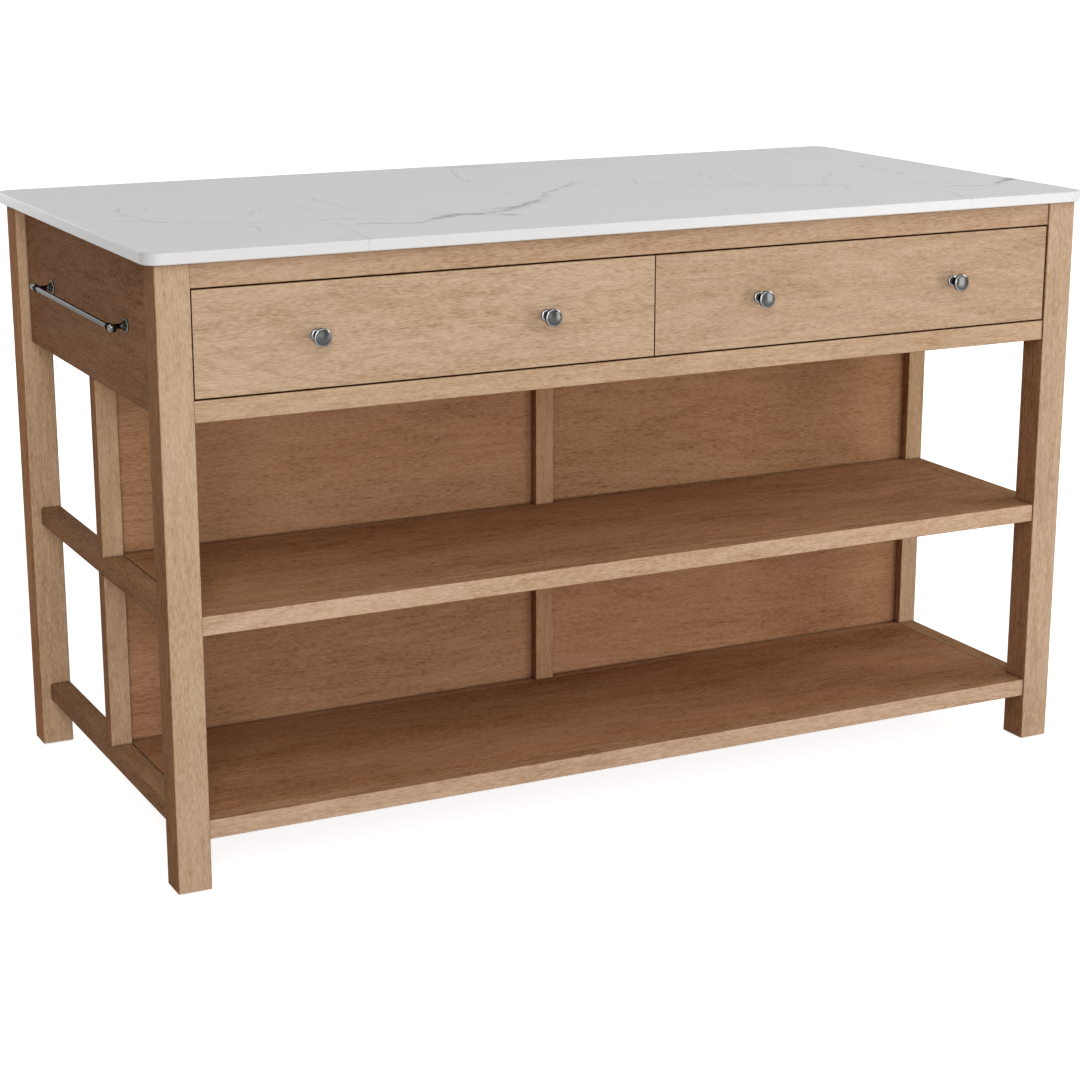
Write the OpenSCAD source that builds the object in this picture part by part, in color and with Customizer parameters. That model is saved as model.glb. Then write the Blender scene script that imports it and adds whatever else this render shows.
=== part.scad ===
// Kitchen island: a stone worktop on a timber leg frame, with two drawers, two shelves
// at the front, a knee space at the back and a towel bar on the left side.
// Millimetres, +Z up, front towards -Y. The origin lies on the floor, under the middle
// of the whole unit. Each piece is one module, drawn in place.

/* [Overall] */
// Height from the floor to the top of the worktop
overall_h = 914; // [850:1:960]
// Width over the outer faces of the legs
frame_w = 1520; // [1200:5:1900]
// Depth over the outer faces of the legs
frame_d = 752; // [650:2:950]

/* [Worktop] */
// Thickness of the stone slab
top_t = 17; // [12:1:30]
// How far the slab stands out past the legs at each side
top_over_side = 14; // [8:1:40]
// How far the slab stands out past the front legs
top_over_front = 10; // [4:1:40]
// How far the slab stands out past the back legs
top_over_back = 13; // [4:1:40]
// Radius of the slab's corners, seen from above
top_corner_r = 25; // [6:1:60]
// Radius of the slab's eased edges
top_edge_r = 2; // [1:0.5:5]

/* [Leg frame] */
// Side of the square legs
leg_w = 50; // [44:1:70]
// Rounding of the legs' long edges
leg_edge_r = 2.5; // [1:0.5:4]
// Rounding of the long edges of rails and posts
rail_edge_r = 1.5; // [0.5:0.5:3]
// How far the front rails sit behind the legs' front faces
front_recess = 3; // [1:0.5:8]
// How far panels and stretchers sit inside the legs' outer faces
side_recess = 17; // [8:0.5:20]
// Depth of the front rails
rail_t = 28; // [22:1:36]
// Height of the rail under the worktop
top_rail_h = 35; // [25:1:60]
// Height of the opening for the drawer fronts
open_h = 153; // [120:1:190]
// Height of the rail under the drawers
lower_rail_h = 31; // [22:1:50]
// Height of the rails and stretchers at the shelves
shelf_rail_h = 28; // [26:1:45]
// Thickness of the side panels, the back apron and the inner boards
panel_t = 18; // [12:1:22]
// Length of the stub tenons
tenon_l = 14; // [8:1:18]
// Thickness of the stub tenons
tenon_t = 10; // [6:1:12]
// Step from a member's edge down to its tenon
tenon_step = 4; // [3:0.5:8]
// Play around a tenon or in a groove
joint_play = 0.3; // [0.2:0.05:0.5]

/* [Leg glides] */
// Diameter of the glides under the legs
glide_d = 26; // [16:1:40]
// Height that a glide lifts its leg
glide_h = 3; // [2:0.5:8]
// Diameter of a glide's stem
glide_stem_d = 6; // [4:0.5:10]
// Length of a glide's stem
glide_stem_l = 20; // [12:1:30]

/* [Shelves] */
// Height of the low shelf's top
low_shelf_z = 105; // [80:1:200]
// Height of the middle shelf's top
mid_shelf_z = 405; // [320:1:520]
// Thickness of the shelf panels
shelf_t = 12; // [9:0.5:16]
// Side of the square cleats under the shelf panels
cleat_w = 14; // [8:1:20]
// Gap around a let-in shelf panel
shelf_gap = 0.8; // [0.2:0.1:2]

/* [Posts and back panels] */
// Depth of the posts and stiles
post_d = 27; // [22:1:40]
// Width of the middle stiles
stile_w = 32; // [24:1:50]
// Thickness of the back panels
back_t = 8; // [6:0.5:9]
// How far the back panels sit behind the posts' front faces
back_recess = 16; // [6:0.5:17]
// Depth of the grooves that hold the back panels
back_groove = 6; // [4:0.5:10]

/* [Drawers] */
// Gap around a drawer front
drawer_gap = 2; // [1:0.5:4]
// Thickness of a drawer front
front_t = 20; // [16:1:25]
// Thickness of a drawer's sides and back
box_t = 12; // [10:0.5:15]
// Gap under a drawer's sides
box_lift = 12; // [6:1:20]
// Gap from the top of a drawer's sides up to the top rail
box_head_gap = 31; // [10:1:50]
// Gap between a drawer's sides and the cross board behind them
box_back_gap = 14; // [5:1:30]
// Thickness of a drawer's bottom
bottom_t = 6; // [4:0.5:9]
// Height of the bottom above the sides' lower edges
bottom_up = 10; // [8:1:20]
// Depth of the grooves and housings in a drawer
box_groove = 6; // [4:0.5:7]
// Distance from a drawer's back to the ends of its sides
back_inset = 14; // [8:1:30]

/* [Drawer slides] */
// Step between the lengths that slides are made in
slide_step = 50; // [25:25:100]
// Height of a slide
slide_h = 45; // [40:0.5:50]
// Width of a slide, cabinet to drawer
slide_t = 13; // [12.5:0.1:14]
// Thickness of the formed sheet
sheet_t = 1.2; // [1:0.1:1.4]
// Diameter of the balls
ball_d = 3.8; // [3:0.1:4]
// Air between a ball and its race
ball_play = 0.35; // [0.3:0.05:0.5]
// Distance from ball to ball
ball_pitch = 19; // [12:1:19]
// Distance from the front rails back to the slides
slide_setback = 3; // [1:1:8]
// Height of the slides' middle above the lower edge of the drawer sides
slide_up = 32; // [28:1:60]
// Height of the packers behind the outer slides
packer_h = 56; // [50:1:70]

/* [Screws] */
// Shank diameter of all screws
screw_d = 4; // [3:0.5:5]
// Room around a shank in its hole
screw_play = 0.3; // [0.2:0.05:0.5]
// Head diameter of the slide screws
slide_head_d = 7; // [6:0.5:8]
// Head height of the slide screws
slide_head_h = 1.1; // [0.8:0.1:1.2]
// Length of the slide screws
slide_screw_l = 8; // [6:0.5:8]
// Head diameter of the other screws
head_d = 9; // [7:0.5:11]
// Head height of the other screws
head_h = 2.5; // [1.5:0.5:4]
// Depth that a screw reaches into a knob, a bar post or a board
grip_l = 10; // [6:0.5:12]

/* [Knobs] */
// Diameter of a knob's disc
knob_d = 26; // [20:1:40]
// Distance that a knob stands out
knob_out = 26.5; // [20:0.5:40]
// Thickness of a knob's disc at its rim
knob_rim_t = 3; // [2:0.5:6]
// Diameter of a knob's base
knob_base_d = 17; // [12:1:24]
// Thickness of a knob's base
knob_base_t = 3; // [1.5:0.5:5]
// Diameter of a knob's neck
knob_neck_d = 8; // [7:0.5:14]
// Distance between a drawer's two knobs
knob_pitch = 353; // [200:1:500]

/* [Towel bar] */
// Distance from the worktop's underside down to the bar
bar_drop = 111; // [60:1:160]
// Diameter of the bar
bar_d = 8; // [6:0.5:12]
// Distance from the side panel to the bar's middle
bar_out = 25; // [20:1:40]
// Distance between the bar's posts
bar_pitch = 376; // [200:2:480]
// Length of the bar past each post
bar_past = 22; // [14:1:30]
// Diameter of the rings at the bar's ends
bar_ring_d = 11; // [9:0.5:16]
// Diameter of a bar post's base
bar_base_d = 20; // [14:1:30]
// Diameter of a bar post's neck
bar_neck_d = 7; // [6:0.5:10]

/* [Worktop battens] */
// Side of the square battens under the worktop
batten_w = 22; // [16:1:34]
// Screws in each batten
batten_screws = 5; // [2:1:9]
// Distance from a batten's end to its first screw
batten_margin = 90; // [30:5:150]

/* [Hidden] */
// Facets of large and of small round shapes
fn_large = 64;
fn_small = 32;
fn_ball = 16;
// How far a cutter runs past the face that it opens
cut = 1;

// Reach of the knobs or the slab past the legs, front and back
front_reach = max(knob_out - front_recess, top_over_front);
mid_y = (front_reach - top_over_back) / 2;
front_y = mid_y - frame_d / 2;
back_y = mid_y + frame_d / 2;

// Upright planes at the right-hand side
leg_x1 = frame_w / 2;
leg_x0 = leg_x1 - leg_w;
panel_x1 = leg_x1 - side_recess;
panel_x0 = panel_x1 - panel_t;
packer_t = panel_x0 - leg_x0;

// Planes across the depth
leg_y_front = front_y + leg_w;
leg_y_back = back_y - leg_w;
rail_y0 = front_y + front_recess;
rail_y1 = rail_y0 + rail_t;
apron_y1 = back_y - side_recess;
apron_y0 = apron_y1 - panel_t;
post_y0 = mid_y - post_d / 2;
post_y1 = mid_y + post_d / 2;
cross_y0 = mid_y - panel_t / 2;
cross_y1 = mid_y + panel_t / 2;

// Heights
leg_z1 = overall_h - top_t;
open_z1 = leg_z1 - top_rail_h;
open_z0 = open_z1 - open_h;
box_z = open_z0 - lower_rail_h;

// Members that are jointed into others, each as [low corner, high corner]
top_rail = across_front(open_z1, leg_z1);
lower_rail = across_front(box_z, open_z0);
mid_front_rail = across_front(mid_shelf_z - shelf_rail_h, mid_shelf_z);
low_front_rail = across_front(low_shelf_z - shelf_rail_h, low_shelf_z);
apron = [[-leg_x0, apron_y0, box_z], [leg_x0, apron_y1, leg_z1]];
side_panel = along_side(panel_x0, box_z, leg_z1);
mid_stretcher = along_side(leg_x0, mid_shelf_z - shelf_rail_h, mid_shelf_z);
low_stretcher = along_side(leg_x0, low_shelf_z - shelf_rail_h, low_shelf_z);
mid_back_rail = across_middle(mid_shelf_z);
low_back_rail = across_middle(low_shelf_z);

function across_front(z0, z1) = [[-leg_x0, rail_y0, z0], [leg_x0, rail_y1, z1]];
function along_side(x0, z0, z1) = [[x0, leg_y_front, z0], [panel_x1, leg_y_back, z1]];
function across_middle(z) = [[-leg_x0, post_y0, z - shelf_rail_h], [leg_x0, post_y1, z]];

// Drawer planes, for the right-hand drawer
drawer_x0 = drawer_gap / 2;
drawer_x1 = leg_x0 - drawer_gap;
drawer_mid_x = (drawer_x0 + drawer_x1) / 2;
drawer_z0 = open_z0 + drawer_gap;
drawer_z1 = open_z1 - drawer_gap;
drawer_mid_z = (drawer_z0 + drawer_z1) / 2;
front_y1 = rail_y0 + front_t;
partition_x = panel_t / 2;
box_x0 = partition_x + slide_t;
box_x1 = leg_x0 - slide_t;
box_z0 = open_z0 + box_lift;
box_z1 = open_z1 - box_head_gap;
box_y1 = cross_y0 - box_back_gap;
box_back_y1 = box_y1 - back_inset;
box_back_y0 = box_back_y1 - box_t;

// Back panel planes
back_y0 = post_y0 + back_recess;
back_y1 = back_y0 + back_t;

// Slide planes: across the slide from the cabinet, and up from its middle
slide_y0 = rail_y1 + slide_setback;
slide_l = slide_step * floor((cross_y0 - slide_y0) / slide_step);
slide_z = box_z0 + slide_up;
head_room = 1.8;
outer_setback = 2.8;
middle_setback = 2;
outer_u1 = slide_t - outer_setback;
middle_u0 = sheet_t + head_room;
middle_u1 = slide_t - middle_setback;
inner_u0 = middle_u0 + sheet_t + head_room;
outer_v = slide_h / 2;
outer_row_v = outer_v - sheet_t - ball_play - ball_d / 2;
middle_v = outer_row_v - ball_d / 2 - ball_play;
inner_row_v = middle_v - sheet_t - ball_play - ball_d / 2;
inner_v = inner_row_v - ball_d / 2 - ball_play;
outer_row_u = (middle_u0 + outer_u1) / 2;
inner_row_u = (inner_u0 + middle_u1) / 2;
lip_h = 1.8;
cage_t = 0.8;
cage_w = 4.6;
row_margin = 12;
ball_count = floor((slide_l / 2 - 2 * row_margin) / ball_pitch);

// Screw places along a slide, as distances from its front end
slide_screw_end = 26;
slide_screws = [slide_screw_end, slide_l / 2, slide_l - slide_screw_end];

// Towel bar planes
bar_x = -(panel_x1 + bar_out);
bar_z = leg_z1 - bar_drop;
bar_ys = [mid_y - bar_pitch / 2, mid_y + bar_pitch / 2];
bar_eye_wall = 1.6;
bar_eye_d = bar_d + 2 * bar_eye_wall;
bar_eye_l = 9;
bar_base_t = 2;
bar_flare_l = 11;

// Ends of the towel bar: a ball-shaped button on a waist, behind it a ring
bar_ring_t = 3;
bar_ring_ease = 0.8;
bar_waist_l = 2.4;
bar_waist_under = 0.8;
bar_button_over = 0.6;
bar_button_open = 40;
button_steps = 5;

// Knob shape: hollows over its base and under its rim, and the rise of its face
knob_cove_l = 4.5;
knob_flare_l = 4;
knob_dome = 1.5;
turned_ease = 1;
dome_steps = 4;

// Room past a slide screw's tip
tip_play = 0.5;

// Worktop batten planes
batten_end_gap = 3;
batten_x = leg_x0 - batten_end_gap;
batten_z0 = leg_z1 - batten_w;

// Colours
timber = [0.77, 0.65, 0.52];
timber_dark = [0.62, 0.48, 0.35];
timber_pale = [0.86, 0.77, 0.63];
stone = [0.86, 0.86, 0.85];
nickel = [0.35, 0.34, 0.33];
zinc = [0.72, 0.73, 0.74];
nylon = [0.15, 0.15, 0.15];

// ---------- shared shapes ----------

// Draws its children at the right-hand side, or mirrored to the left when s is -1.
module at_side(s) {
    mirror([s < 0 ? 1 : 0, 0, 0]) children();
}

// Draws its children at the front, or mirrored to the back when e is 1.
module at_end(e) {
    translate([0, mid_y, 0])
        mirror([0, e > 0 ? 1 : 0, 0])
            translate([0, -mid_y, 0])
                children();
}

// A rectangle from the origin with its four corners rounded.
module rounded(w, h, r) {
    translate([r, 0]) square([w - 2 * r, h]);
    translate([0, r]) square([w, h - 2 * r]);
    for (x = [r, w - r], y = [r, h - r]) {
        translate([x, y]) circle(r = r, $fn = fn_small);
    }
}

// A plain box between two corners.
module block(span) {
    translate(span[0]) cube(span[1] - span[0]);
}

// A board between two corners, with the edges along its run rounded.
module board(span, run, r = rail_edge_r) {
    lo = span[0];
    size = span[1] - span[0];
    if (run == "x") {
        translate(lo) rotate([90, 0, 90]) linear_extrude(size.x) rounded(size.y, size.z, r);
    }
    if (run == "y") {
        translate([lo.x, span[1].y, lo.z])
            rotate([90, 0, 0]) linear_extrude(size.y) rounded(size.x, size.z, r);
    }
    if (run == "z") {
        translate(lo) linear_extrude(size.z) rounded(size.x, size.y, r);
    }
}

// The bar whose two ends are a member's stub tenons. With play it is the mortise cutter.
module tenon_bar(span, run, play = 0) {
    size = span[1] - span[0];
    in_x = run == "x" ? -tenon_l : (size.x - tenon_t) / 2;
    in_y = run == "y" ? -tenon_l : (size.y - tenon_t) / 2;
    inset = [in_x, in_y, tenon_step] - play * [1, 1, 1];
    block([span[0] + inset, span[1] - inset]);
}

// A board with a stub tenon at each end.
module member(span, run) {
    board(span, run);
    tenon_bar(span, run);
}

// Half of a slab's section, from the slab's inside out to its rounded edge at x = w.
module edge_profile(w, t, r) {
    intersection() {
        translate([-w, 0]) rounded(2 * w, t, r);
        square([w, t]);
    }
}

// A slab with corners rounded in plan and eased edges all round, of a plain middle, four edge
// strips and four turned corners that meet face to face.
module eased_plate(w, d, t, corner_r, edge_r) {
    inner_w = w - 2 * corner_r;
    inner_d = d - 2 * corner_r;
    translate([corner_r, corner_r, 0]) cube([inner_w, inner_d, t]);
    translate([w / 2, d / 2, 0]) {
        for (turn = [0, 180]) {
            rotate([0, 0, turn]) translate([inner_w / 2, inner_d / 2, 0])
                rotate([90, 0, 0]) linear_extrude(inner_d) edge_profile(corner_r, t, edge_r);
            rotate([0, 0, turn + 90]) translate([inner_d / 2, inner_w / 2, 0])
                rotate([90, 0, 0]) linear_extrude(inner_w) edge_profile(corner_r, t, edge_r);
        }
        for (sx = [-1, 1], sy = [-1, 1]) {
            translate([sx * inner_w / 2, sy * inner_d / 2, 0])
                mirror([sx < 0 ? 1 : 0, 0, 0]) mirror([0, sy < 0 ? 1 : 0, 0])
                    rotate_extrude(angle = 90, $fn = fn_large) edge_profile(corner_r, t, edge_r);
        }
    }
}

// A cylinder from a point, along "x", "y" or "z"; a negative length runs the other way.
module rod(at, run, l, d, fn = fn_small) {
    turn = run == "x" ? [0, 90, 0] : run == "y" ? [-90, 0, 0] : [0, 0, 0];
    flip = l < 0 ? 1 : 0;
    translate(at) rotate(turn) mirror([0, 0, flip]) cylinder(h = abs(l), d = d, $fn = fn);
}

// A screw whose head sits on the point and whose shank runs l along the given way.
module screw(at, run, l, hd = head_d, hh = head_h) {
    back = l < 0 ? 1 : -1;
    rod(at, run, l, screw_d);
    rod(at, run, back * hh, hd);
}

// The hole for a shank.
module screw_hole(at, run, l) {
    rod(at, run, l, screw_d + 2 * screw_play);
}

// ---------- worktop ----------

module worktop() {
    w = frame_w + 2 * top_over_side;
    d = frame_d + top_over_front + top_over_back;
    color(stone)
        translate([-w / 2, front_y - top_over_front, leg_z1])
            eased_plate(w, d, top_t, top_corner_r, top_edge_r);
}

// ---------- legs ----------

// One leg, with a mortise for every member that ends in it.
module leg(s, e) {
    cross_members = e < 0 ? [top_rail, lower_rail, mid_front_rail, low_front_rail] : [apron];
    along_members = [side_panel, mid_stretcher, low_stretcher];
    leg_y0 = e < 0 ? front_y : leg_y_back;
    glide = glide_place(e);
    color(timber)
        at_side(s)
            difference() {
                board([[leg_x0, leg_y0, glide_h], [leg_x1, leg_y0 + leg_w, leg_z1]], "z", leg_edge_r);
                for (m = cross_members) {
                    tenon_bar(m, "x", joint_play);
                }
                for (m = along_members) {
                    tenon_bar(m, "y", joint_play);
                }
                translate(glide)
                    rod([0, 0, 0], "z", glide_stem_l + joint_play + cut, glide_stem_d + 2 * joint_play);
            }
}

// The middle of a right-hand leg's foot, at the height where the stem starts.
function glide_place(e) =
    let (y = e < 0 ? front_y + leg_w / 2 : back_y - leg_w / 2)
    [leg_x1 - leg_w / 2, y, glide_h - cut];

// The four glides: a disc with a rounded rim and a stem that goes up into the leg.
module leg_glides() {
    rim_r = glide_h / 3;
    color(nylon)
        for (s = [-1, 1], e = [-1, 1]) {
            at_side(s) translate([glide_place(e).x, glide_place(e).y, 0]) {
                rotate_extrude($fn = fn_large)
                    polygon([
                        [0, 0], [glide_d / 2 - rim_r, 0], [glide_d / 2, rim_r],
                        [glide_d / 2, glide_h], [0, glide_h]
                    ]);
                rod([0, 0, glide_h / 2], "z", glide_h / 2 + glide_stem_l, glide_stem_d);
            }
        }
}

// ---------- rails, panels and stretchers ----------

module front_rail(span) {
    color(timber) member(span, "x");
}

module back_apron() {
    color(timber)
        difference() {
            member(apron, "x");
            for (x = batten_screw_xs()) {
                screw_hole([x, apron_y0 - cut, batten_z0 + batten_w / 2], "y", grip_l + 2 * cut);
            }
        }
}

module box_side_panel(s) {
    color(timber)
        at_side(s)
            difference() {
                member(side_panel, "y");
                if (s < 0) {
                    for (y = bar_ys) {
                        screw_hole([panel_x0 - cut, y, bar_z], "x", panel_t + 2 * cut);
                    }
                }
            }
}

// A side stretcher, mortised for the back rail of its shelf.
module stretcher(s, span, back_rail) {
    color(timber)
        at_side(s)
            difference() {
                member(span, "y");
                tenon_bar(back_rail, "x", joint_play);
            }
}

module back_rail(span) {
    color(timber_dark) member(span, "x");
}

// The board across the unit, behind the drawers.
module cross_board() {
    color(timber_dark)
        difference() {
            block([[-panel_x0, cross_y0, box_z], [panel_x0, cross_y1, leg_z1]]);
            for (x = batten_screw_xs()) {
                screw_hole([x, cross_y1 + cut, batten_z0 + batten_w / 2], "y", -(grip_l + 2 * cut));
            }
        }
}

// The board between the two drawers, bored for the slides on both its faces.
module centre_partition() {
    color(timber_dark)
        difference() {
            block([[-partition_x, rail_y1, box_z], [partition_x, cross_y0, leg_z1]]);
            for (s = [-1, 1], y = slide_screws) {
                at_side(s)
                    screw_hole(
                        [partition_x + cut, slide_y0 + y, slide_z],
                        "x", -(slide_screw_l + 1.5 * cut)
                    );
            }
        }
}

// The packers that bring the outer slides level with the legs' inner faces. Where the heads
// of the towel bar's screws are in their way they are bored for them.
module slide_packers() {
    color(timber_dark)
        for (s = [-1, 1]) {
            at_side(s)
                difference() {
                    block([
                        [leg_x0, leg_y_front, slide_z - packer_h / 2],
                        [panel_x0, cross_y0, slide_z + packer_h / 2]
                    ]);
                    for (y = slide_screws) {
                        screw_hole([leg_x0 - cut, slide_y0 + y, slide_z], "x", slide_screw_l + 1.5 * cut);
                    }
                    for (y = bar_ys) {
                        rod([leg_x0 - cut, y, bar_z], "x", packer_t + 2 * cut, head_d + 2 * screw_play);
                    }
                }
        }
}

// ---------- worktop battens ----------

function batten_screw_xs() =
    let (first = batten_x - batten_margin, step = 2 * first / (batten_screws - 1))
    [for (i = [0 : batten_screws - 1]) -first + i * step];

// Faces of the two battens: on the cross board's back and on the apron's front.
function batten_ys() = [[cross_y1, cross_y1 + batten_w], [apron_y0 - batten_w, apron_y0]];

module worktop_battens() {
    color(timber_pale)
        for (ys = batten_ys()) {
            difference() {
                block([[-batten_x, ys[0], batten_z0], [batten_x, ys[1], leg_z1]]);
                for (x = batten_screw_xs()) {
                    screw_hole([x, ys[0] - cut, batten_z0 + batten_w / 2], "y", batten_w + 2 * cut);
                }
            }
        }
}

module worktop_batten_screws() {
    z = batten_z0 + batten_w / 2;
    reach = batten_w + grip_l;
    color(zinc)
        for (x = batten_screw_xs()) {
            screw([x, cross_y1 + batten_w, z], "y", -reach);
            screw([x, apron_y0 - batten_w, z], "y", reach);
        }
}

// ---------- shelves, posts and back panels ----------

// A panel let in flush between its rails and stretchers.
module shelf_panel(z) {
    gap = [shelf_gap, shelf_gap, 0];
    color(timber)
        board([
            [-leg_x0, rail_y1, z - shelf_t] + gap,
            [leg_x0, post_y0, z] - gap
        ], "x", rail_edge_r / 2);
}

module shelf_cleats() {
    color(timber_pale)
        for (z = [mid_shelf_z - shelf_t, low_shelf_z - shelf_t]) {
            block([[-batten_x, rail_y1, z - cleat_w], [batten_x, rail_y1 + cleat_w, z]]);
            block([[-batten_x, post_y0 - cleat_w, z - cleat_w], [batten_x, post_y0, z]]);
        }
}

// The space that a back panel needs in its posts, its stile and between them.
function back_span(z0, z1, play) = [
    [stile_w / 2 - back_groove, back_y0 - play, z0],
    [leg_x0 + back_groove, back_y1 + play, z1]
];

// A post on a stretcher, grooved on its inner face for the back panel.
module post(s, z0, z1) {
    color(timber)
        at_side(s)
            difference() {
                board([[leg_x0, post_y0, z0], [panel_x1, post_y1, z1]], "z");
                block(back_span(z0 - cut, z1 + cut, joint_play));
            }
}

// A stile in the middle, grooved on both sides.
module stile(z0, z1) {
    color(timber)
        difference() {
            board([[-stile_w / 2, post_y0, z0], [stile_w / 2, post_y1, z1]], "z");
            for (s = [-1, 1]) {
                at_side(s) block(back_span(z0 - cut, z1 + cut, joint_play));
            }
        }
}

// A back panel, held in the grooves and standing on its shelf's back rail.
module back_panel(s, z0, z1) {
    play = [joint_play, 0, 0];
    span = back_span(z0, z1 - joint_play, 0);
    color(timber_dark) at_side(s) block([span[0] + play, span[1] - play]);
}

// ---------- drawers ----------

// A drawer front, housed at the back for the sides and the bottom, and bored for the knobs.
module drawer_front(s) {
    housing_y = front_y1 - box_groove;
    play = joint_play * [1, 1, 1];
    color(timber)
        at_side(s)
            difference() {
                board([[drawer_x0, rail_y0, drawer_z0], [drawer_x1, front_y1, drawer_z1]], "x");
                for (x = [box_x0, box_x1 - box_t]) {
                    block([
                        [x, housing_y, box_z0] - [joint_play, 0, joint_play],
                        [x + box_t, front_y1 + cut, box_z1] + [joint_play, 0, joint_play]
                    ]);
                }
                block([bottom_span()[0] - play, bottom_span()[1] + play]);
                for (x = knob_xs()) {
                    screw_hole([x, rail_y0 - cut, drawer_mid_z], "y", front_t + 2 * cut);
                }
            }
}

function knob_xs() = [drawer_mid_x - knob_pitch / 2, drawer_mid_x + knob_pitch / 2];

// A drawer's bottom panel, with its edges in the grooves.
function bottom_span() =
    let (in_groove = box_groove - joint_play)
    [
        [box_x0 + box_t - in_groove, front_y1 - in_groove, box_z0 + bottom_up],
        [box_x1 - box_t + in_groove, box_back_y0 + in_groove, box_z0 + bottom_up + bottom_t]
    ];

// A drawer's back panel, with its ends in housings in the sides.
function drawer_back_span() =
    let (in_groove = box_groove - joint_play)
    [
        [box_x0 + box_t - in_groove, box_back_y0, box_z0],
        [box_x1 - box_t + in_groove, box_back_y1, box_z1]
    ];

// One side of a drawer: k is 0 for the side at the partition, 1 for the side at the leg.
module drawer_side(s, k) {
    x0 = k == 0 ? box_x0 : box_x1 - box_t;
    outer_x = k == 0 ? box_x0 : box_x1;
    inward = k == 0 ? 1 : -1;
    play = joint_play * [1, 1, 1];
    back = drawer_back_span();
    color(timber_pale)
        at_side(s)
            difference() {
                board([
                    [x0, front_y1 - box_groove + joint_play, box_z0],
                    [x0 + box_t, box_y1, box_z1]
                ], "y");
                block([bottom_span()[0] - play, bottom_span()[1] + play]);
                block([back[0] - play - [0, 0, cut], back[1] + play + [0, 0, cut]]);
                for (y = slide_screws) {
                    screw_hole(
                        [outer_x - inward * cut, slide_y0 + y, slide_z],
                        "x", inward * (slide_screw_l + cut + tip_play)
                    );
                }
            }
}

module drawer_back(s) {
    play = joint_play * [1, 1, 1];
    color(timber_pale)
        at_side(s)
            difference() {
                block(drawer_back_span());
                block([bottom_span()[0] - play, bottom_span()[1] + play]);
            }
}

module drawer_bottom(s) {
    color(timber_pale) at_side(s) block(bottom_span());
}

// A hollow curve from a wide radius at height z to a narrow one at z + l, at these angles.
function hollow(wide, narrow, z, l, angles) =
    [for (a = angles) [narrow + (wide - narrow) * (1 - sin(a)), z + l * (1 - cos(a))]];

// The outline of half a knob: base, cove, neck, flare, rim and domed face.
function knob_outline() =
    let (
        base_r = knob_base_d / 2,
        neck_r = knob_neck_d / 2,
        rim_r = knob_d / 2,
        rim_z1 = knob_out - knob_dome,
        rim_z0 = rim_z1 - knob_rim_t
    )
    concat(
        [[0, 0], [base_r, 0], [base_r, knob_base_t]],
        hollow(base_r - turned_ease, neck_r, knob_base_t, knob_cove_l, [0 : 30 : 90]),
        hollow(rim_r - turned_ease, neck_r, rim_z0, -knob_flare_l, [90 : -30 : 0]),
        [[rim_r, rim_z0 + turned_ease], [rim_r, rim_z1 - turned_ease], [rim_r - turned_ease, rim_z1]],
        [for (i = [dome_steps : -1 : 0])
            let (r = (rim_r - 2 * turned_ease) * i / dome_steps)
            [r, knob_out - knob_dome * pow(r / rim_r, 2)]]
    );

module drawer_knobs(s) {
    color(nickel)
        at_side(s)
            for (x = knob_xs()) {
                difference() {
                    translate([x, rail_y0, drawer_mid_z])
                        rotate([90, 0, 0]) rotate_extrude($fn = fn_large) polygon(knob_outline());
                    screw_hole([x, rail_y0 + cut, drawer_mid_z], "y", -(grip_l + 2 * cut));
                }
            }
}

// The screws of one drawer: through the front into the knobs, and through the drawer
// members of the slides into the drawer sides.
module drawer_screws(s) {
    color(zinc)
        at_side(s) {
            for (x = knob_xs()) {
                screw([x, front_y1, drawer_mid_z], "y", -(front_t + grip_l));
            }
            for (y = slide_screws) {
                slide_screw([box_x0 - sheet_t, slide_y0 + y, slide_z], 1);
                slide_screw([box_x1 + sheet_t, slide_y0 + y, slide_z], -1);
            }
        }
}

// ---------- drawer slides ----------

// Places a slide of the right-hand drawer: k is 0 at the partition, 1 at the leg.
// Its children are drawn with x across from the cabinet face and y towards the back.
module slide_place(k) {
    x = k == 0 ? partition_x : leg_x0;
    translate([x, slide_y0, slide_z]) mirror([k, 0, 0]) children();
}

// Extrudes a profile, drawn across and up, over the slide's length.
module along_slide(l) {
    translate([0, l, 0]) rotate([90, 0, 0]) linear_extrude(l) children();
}

// A formed channel profile: a web from u0, and two flanges out to u1.
module channel(u0, u1, web_u, v) {
    translate([web_u, -v]) square([sheet_t, 2 * v]);
    for (m = [0, 1]) {
        mirror([0, m]) translate([u0, v - sheet_t]) square([u1 - u0, sheet_t]);
    }
}

// The holes in a web for the slide screws.
module web_holes(u) {
    for (y = slide_screws) {
        screw_hole([u - cut, y, 0], "x", sheet_t + 2 * cut);
    }
}

// A slide screw whose head sits on the web at the point, driven along x.
module slide_screw(at, way) {
    screw(at, "x", way * (slide_screw_l + sheet_t), slide_head_d, slide_head_h);
}

// Cabinet member: a channel with lips that keep the balls in.
module cabinet_member() {
    difference() {
        along_slide(slide_l) {
            channel(0, outer_u1, 0, outer_v);
            for (m = [0, 1]) {
                mirror([0, m])
                    translate([outer_u1 - sheet_t, outer_v - sheet_t - lip_h])
                        square([sheet_t, lip_h + sheet_t]);
            }
        }
        web_holes(0);
    }
}

// Middle member: a channel that runs inside the cabinet member.
module middle_member() {
    along_slide(slide_l) channel(middle_u0, middle_u1, middle_u0, middle_v);
}

// Drawer member: a channel that opens towards the cabinet.
module drawer_member() {
    difference() {
        along_slide(slide_l) channel(inner_u0, slide_t, slide_t - sheet_t, inner_v);
        web_holes(slide_t - sheet_t);
    }
}

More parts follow.
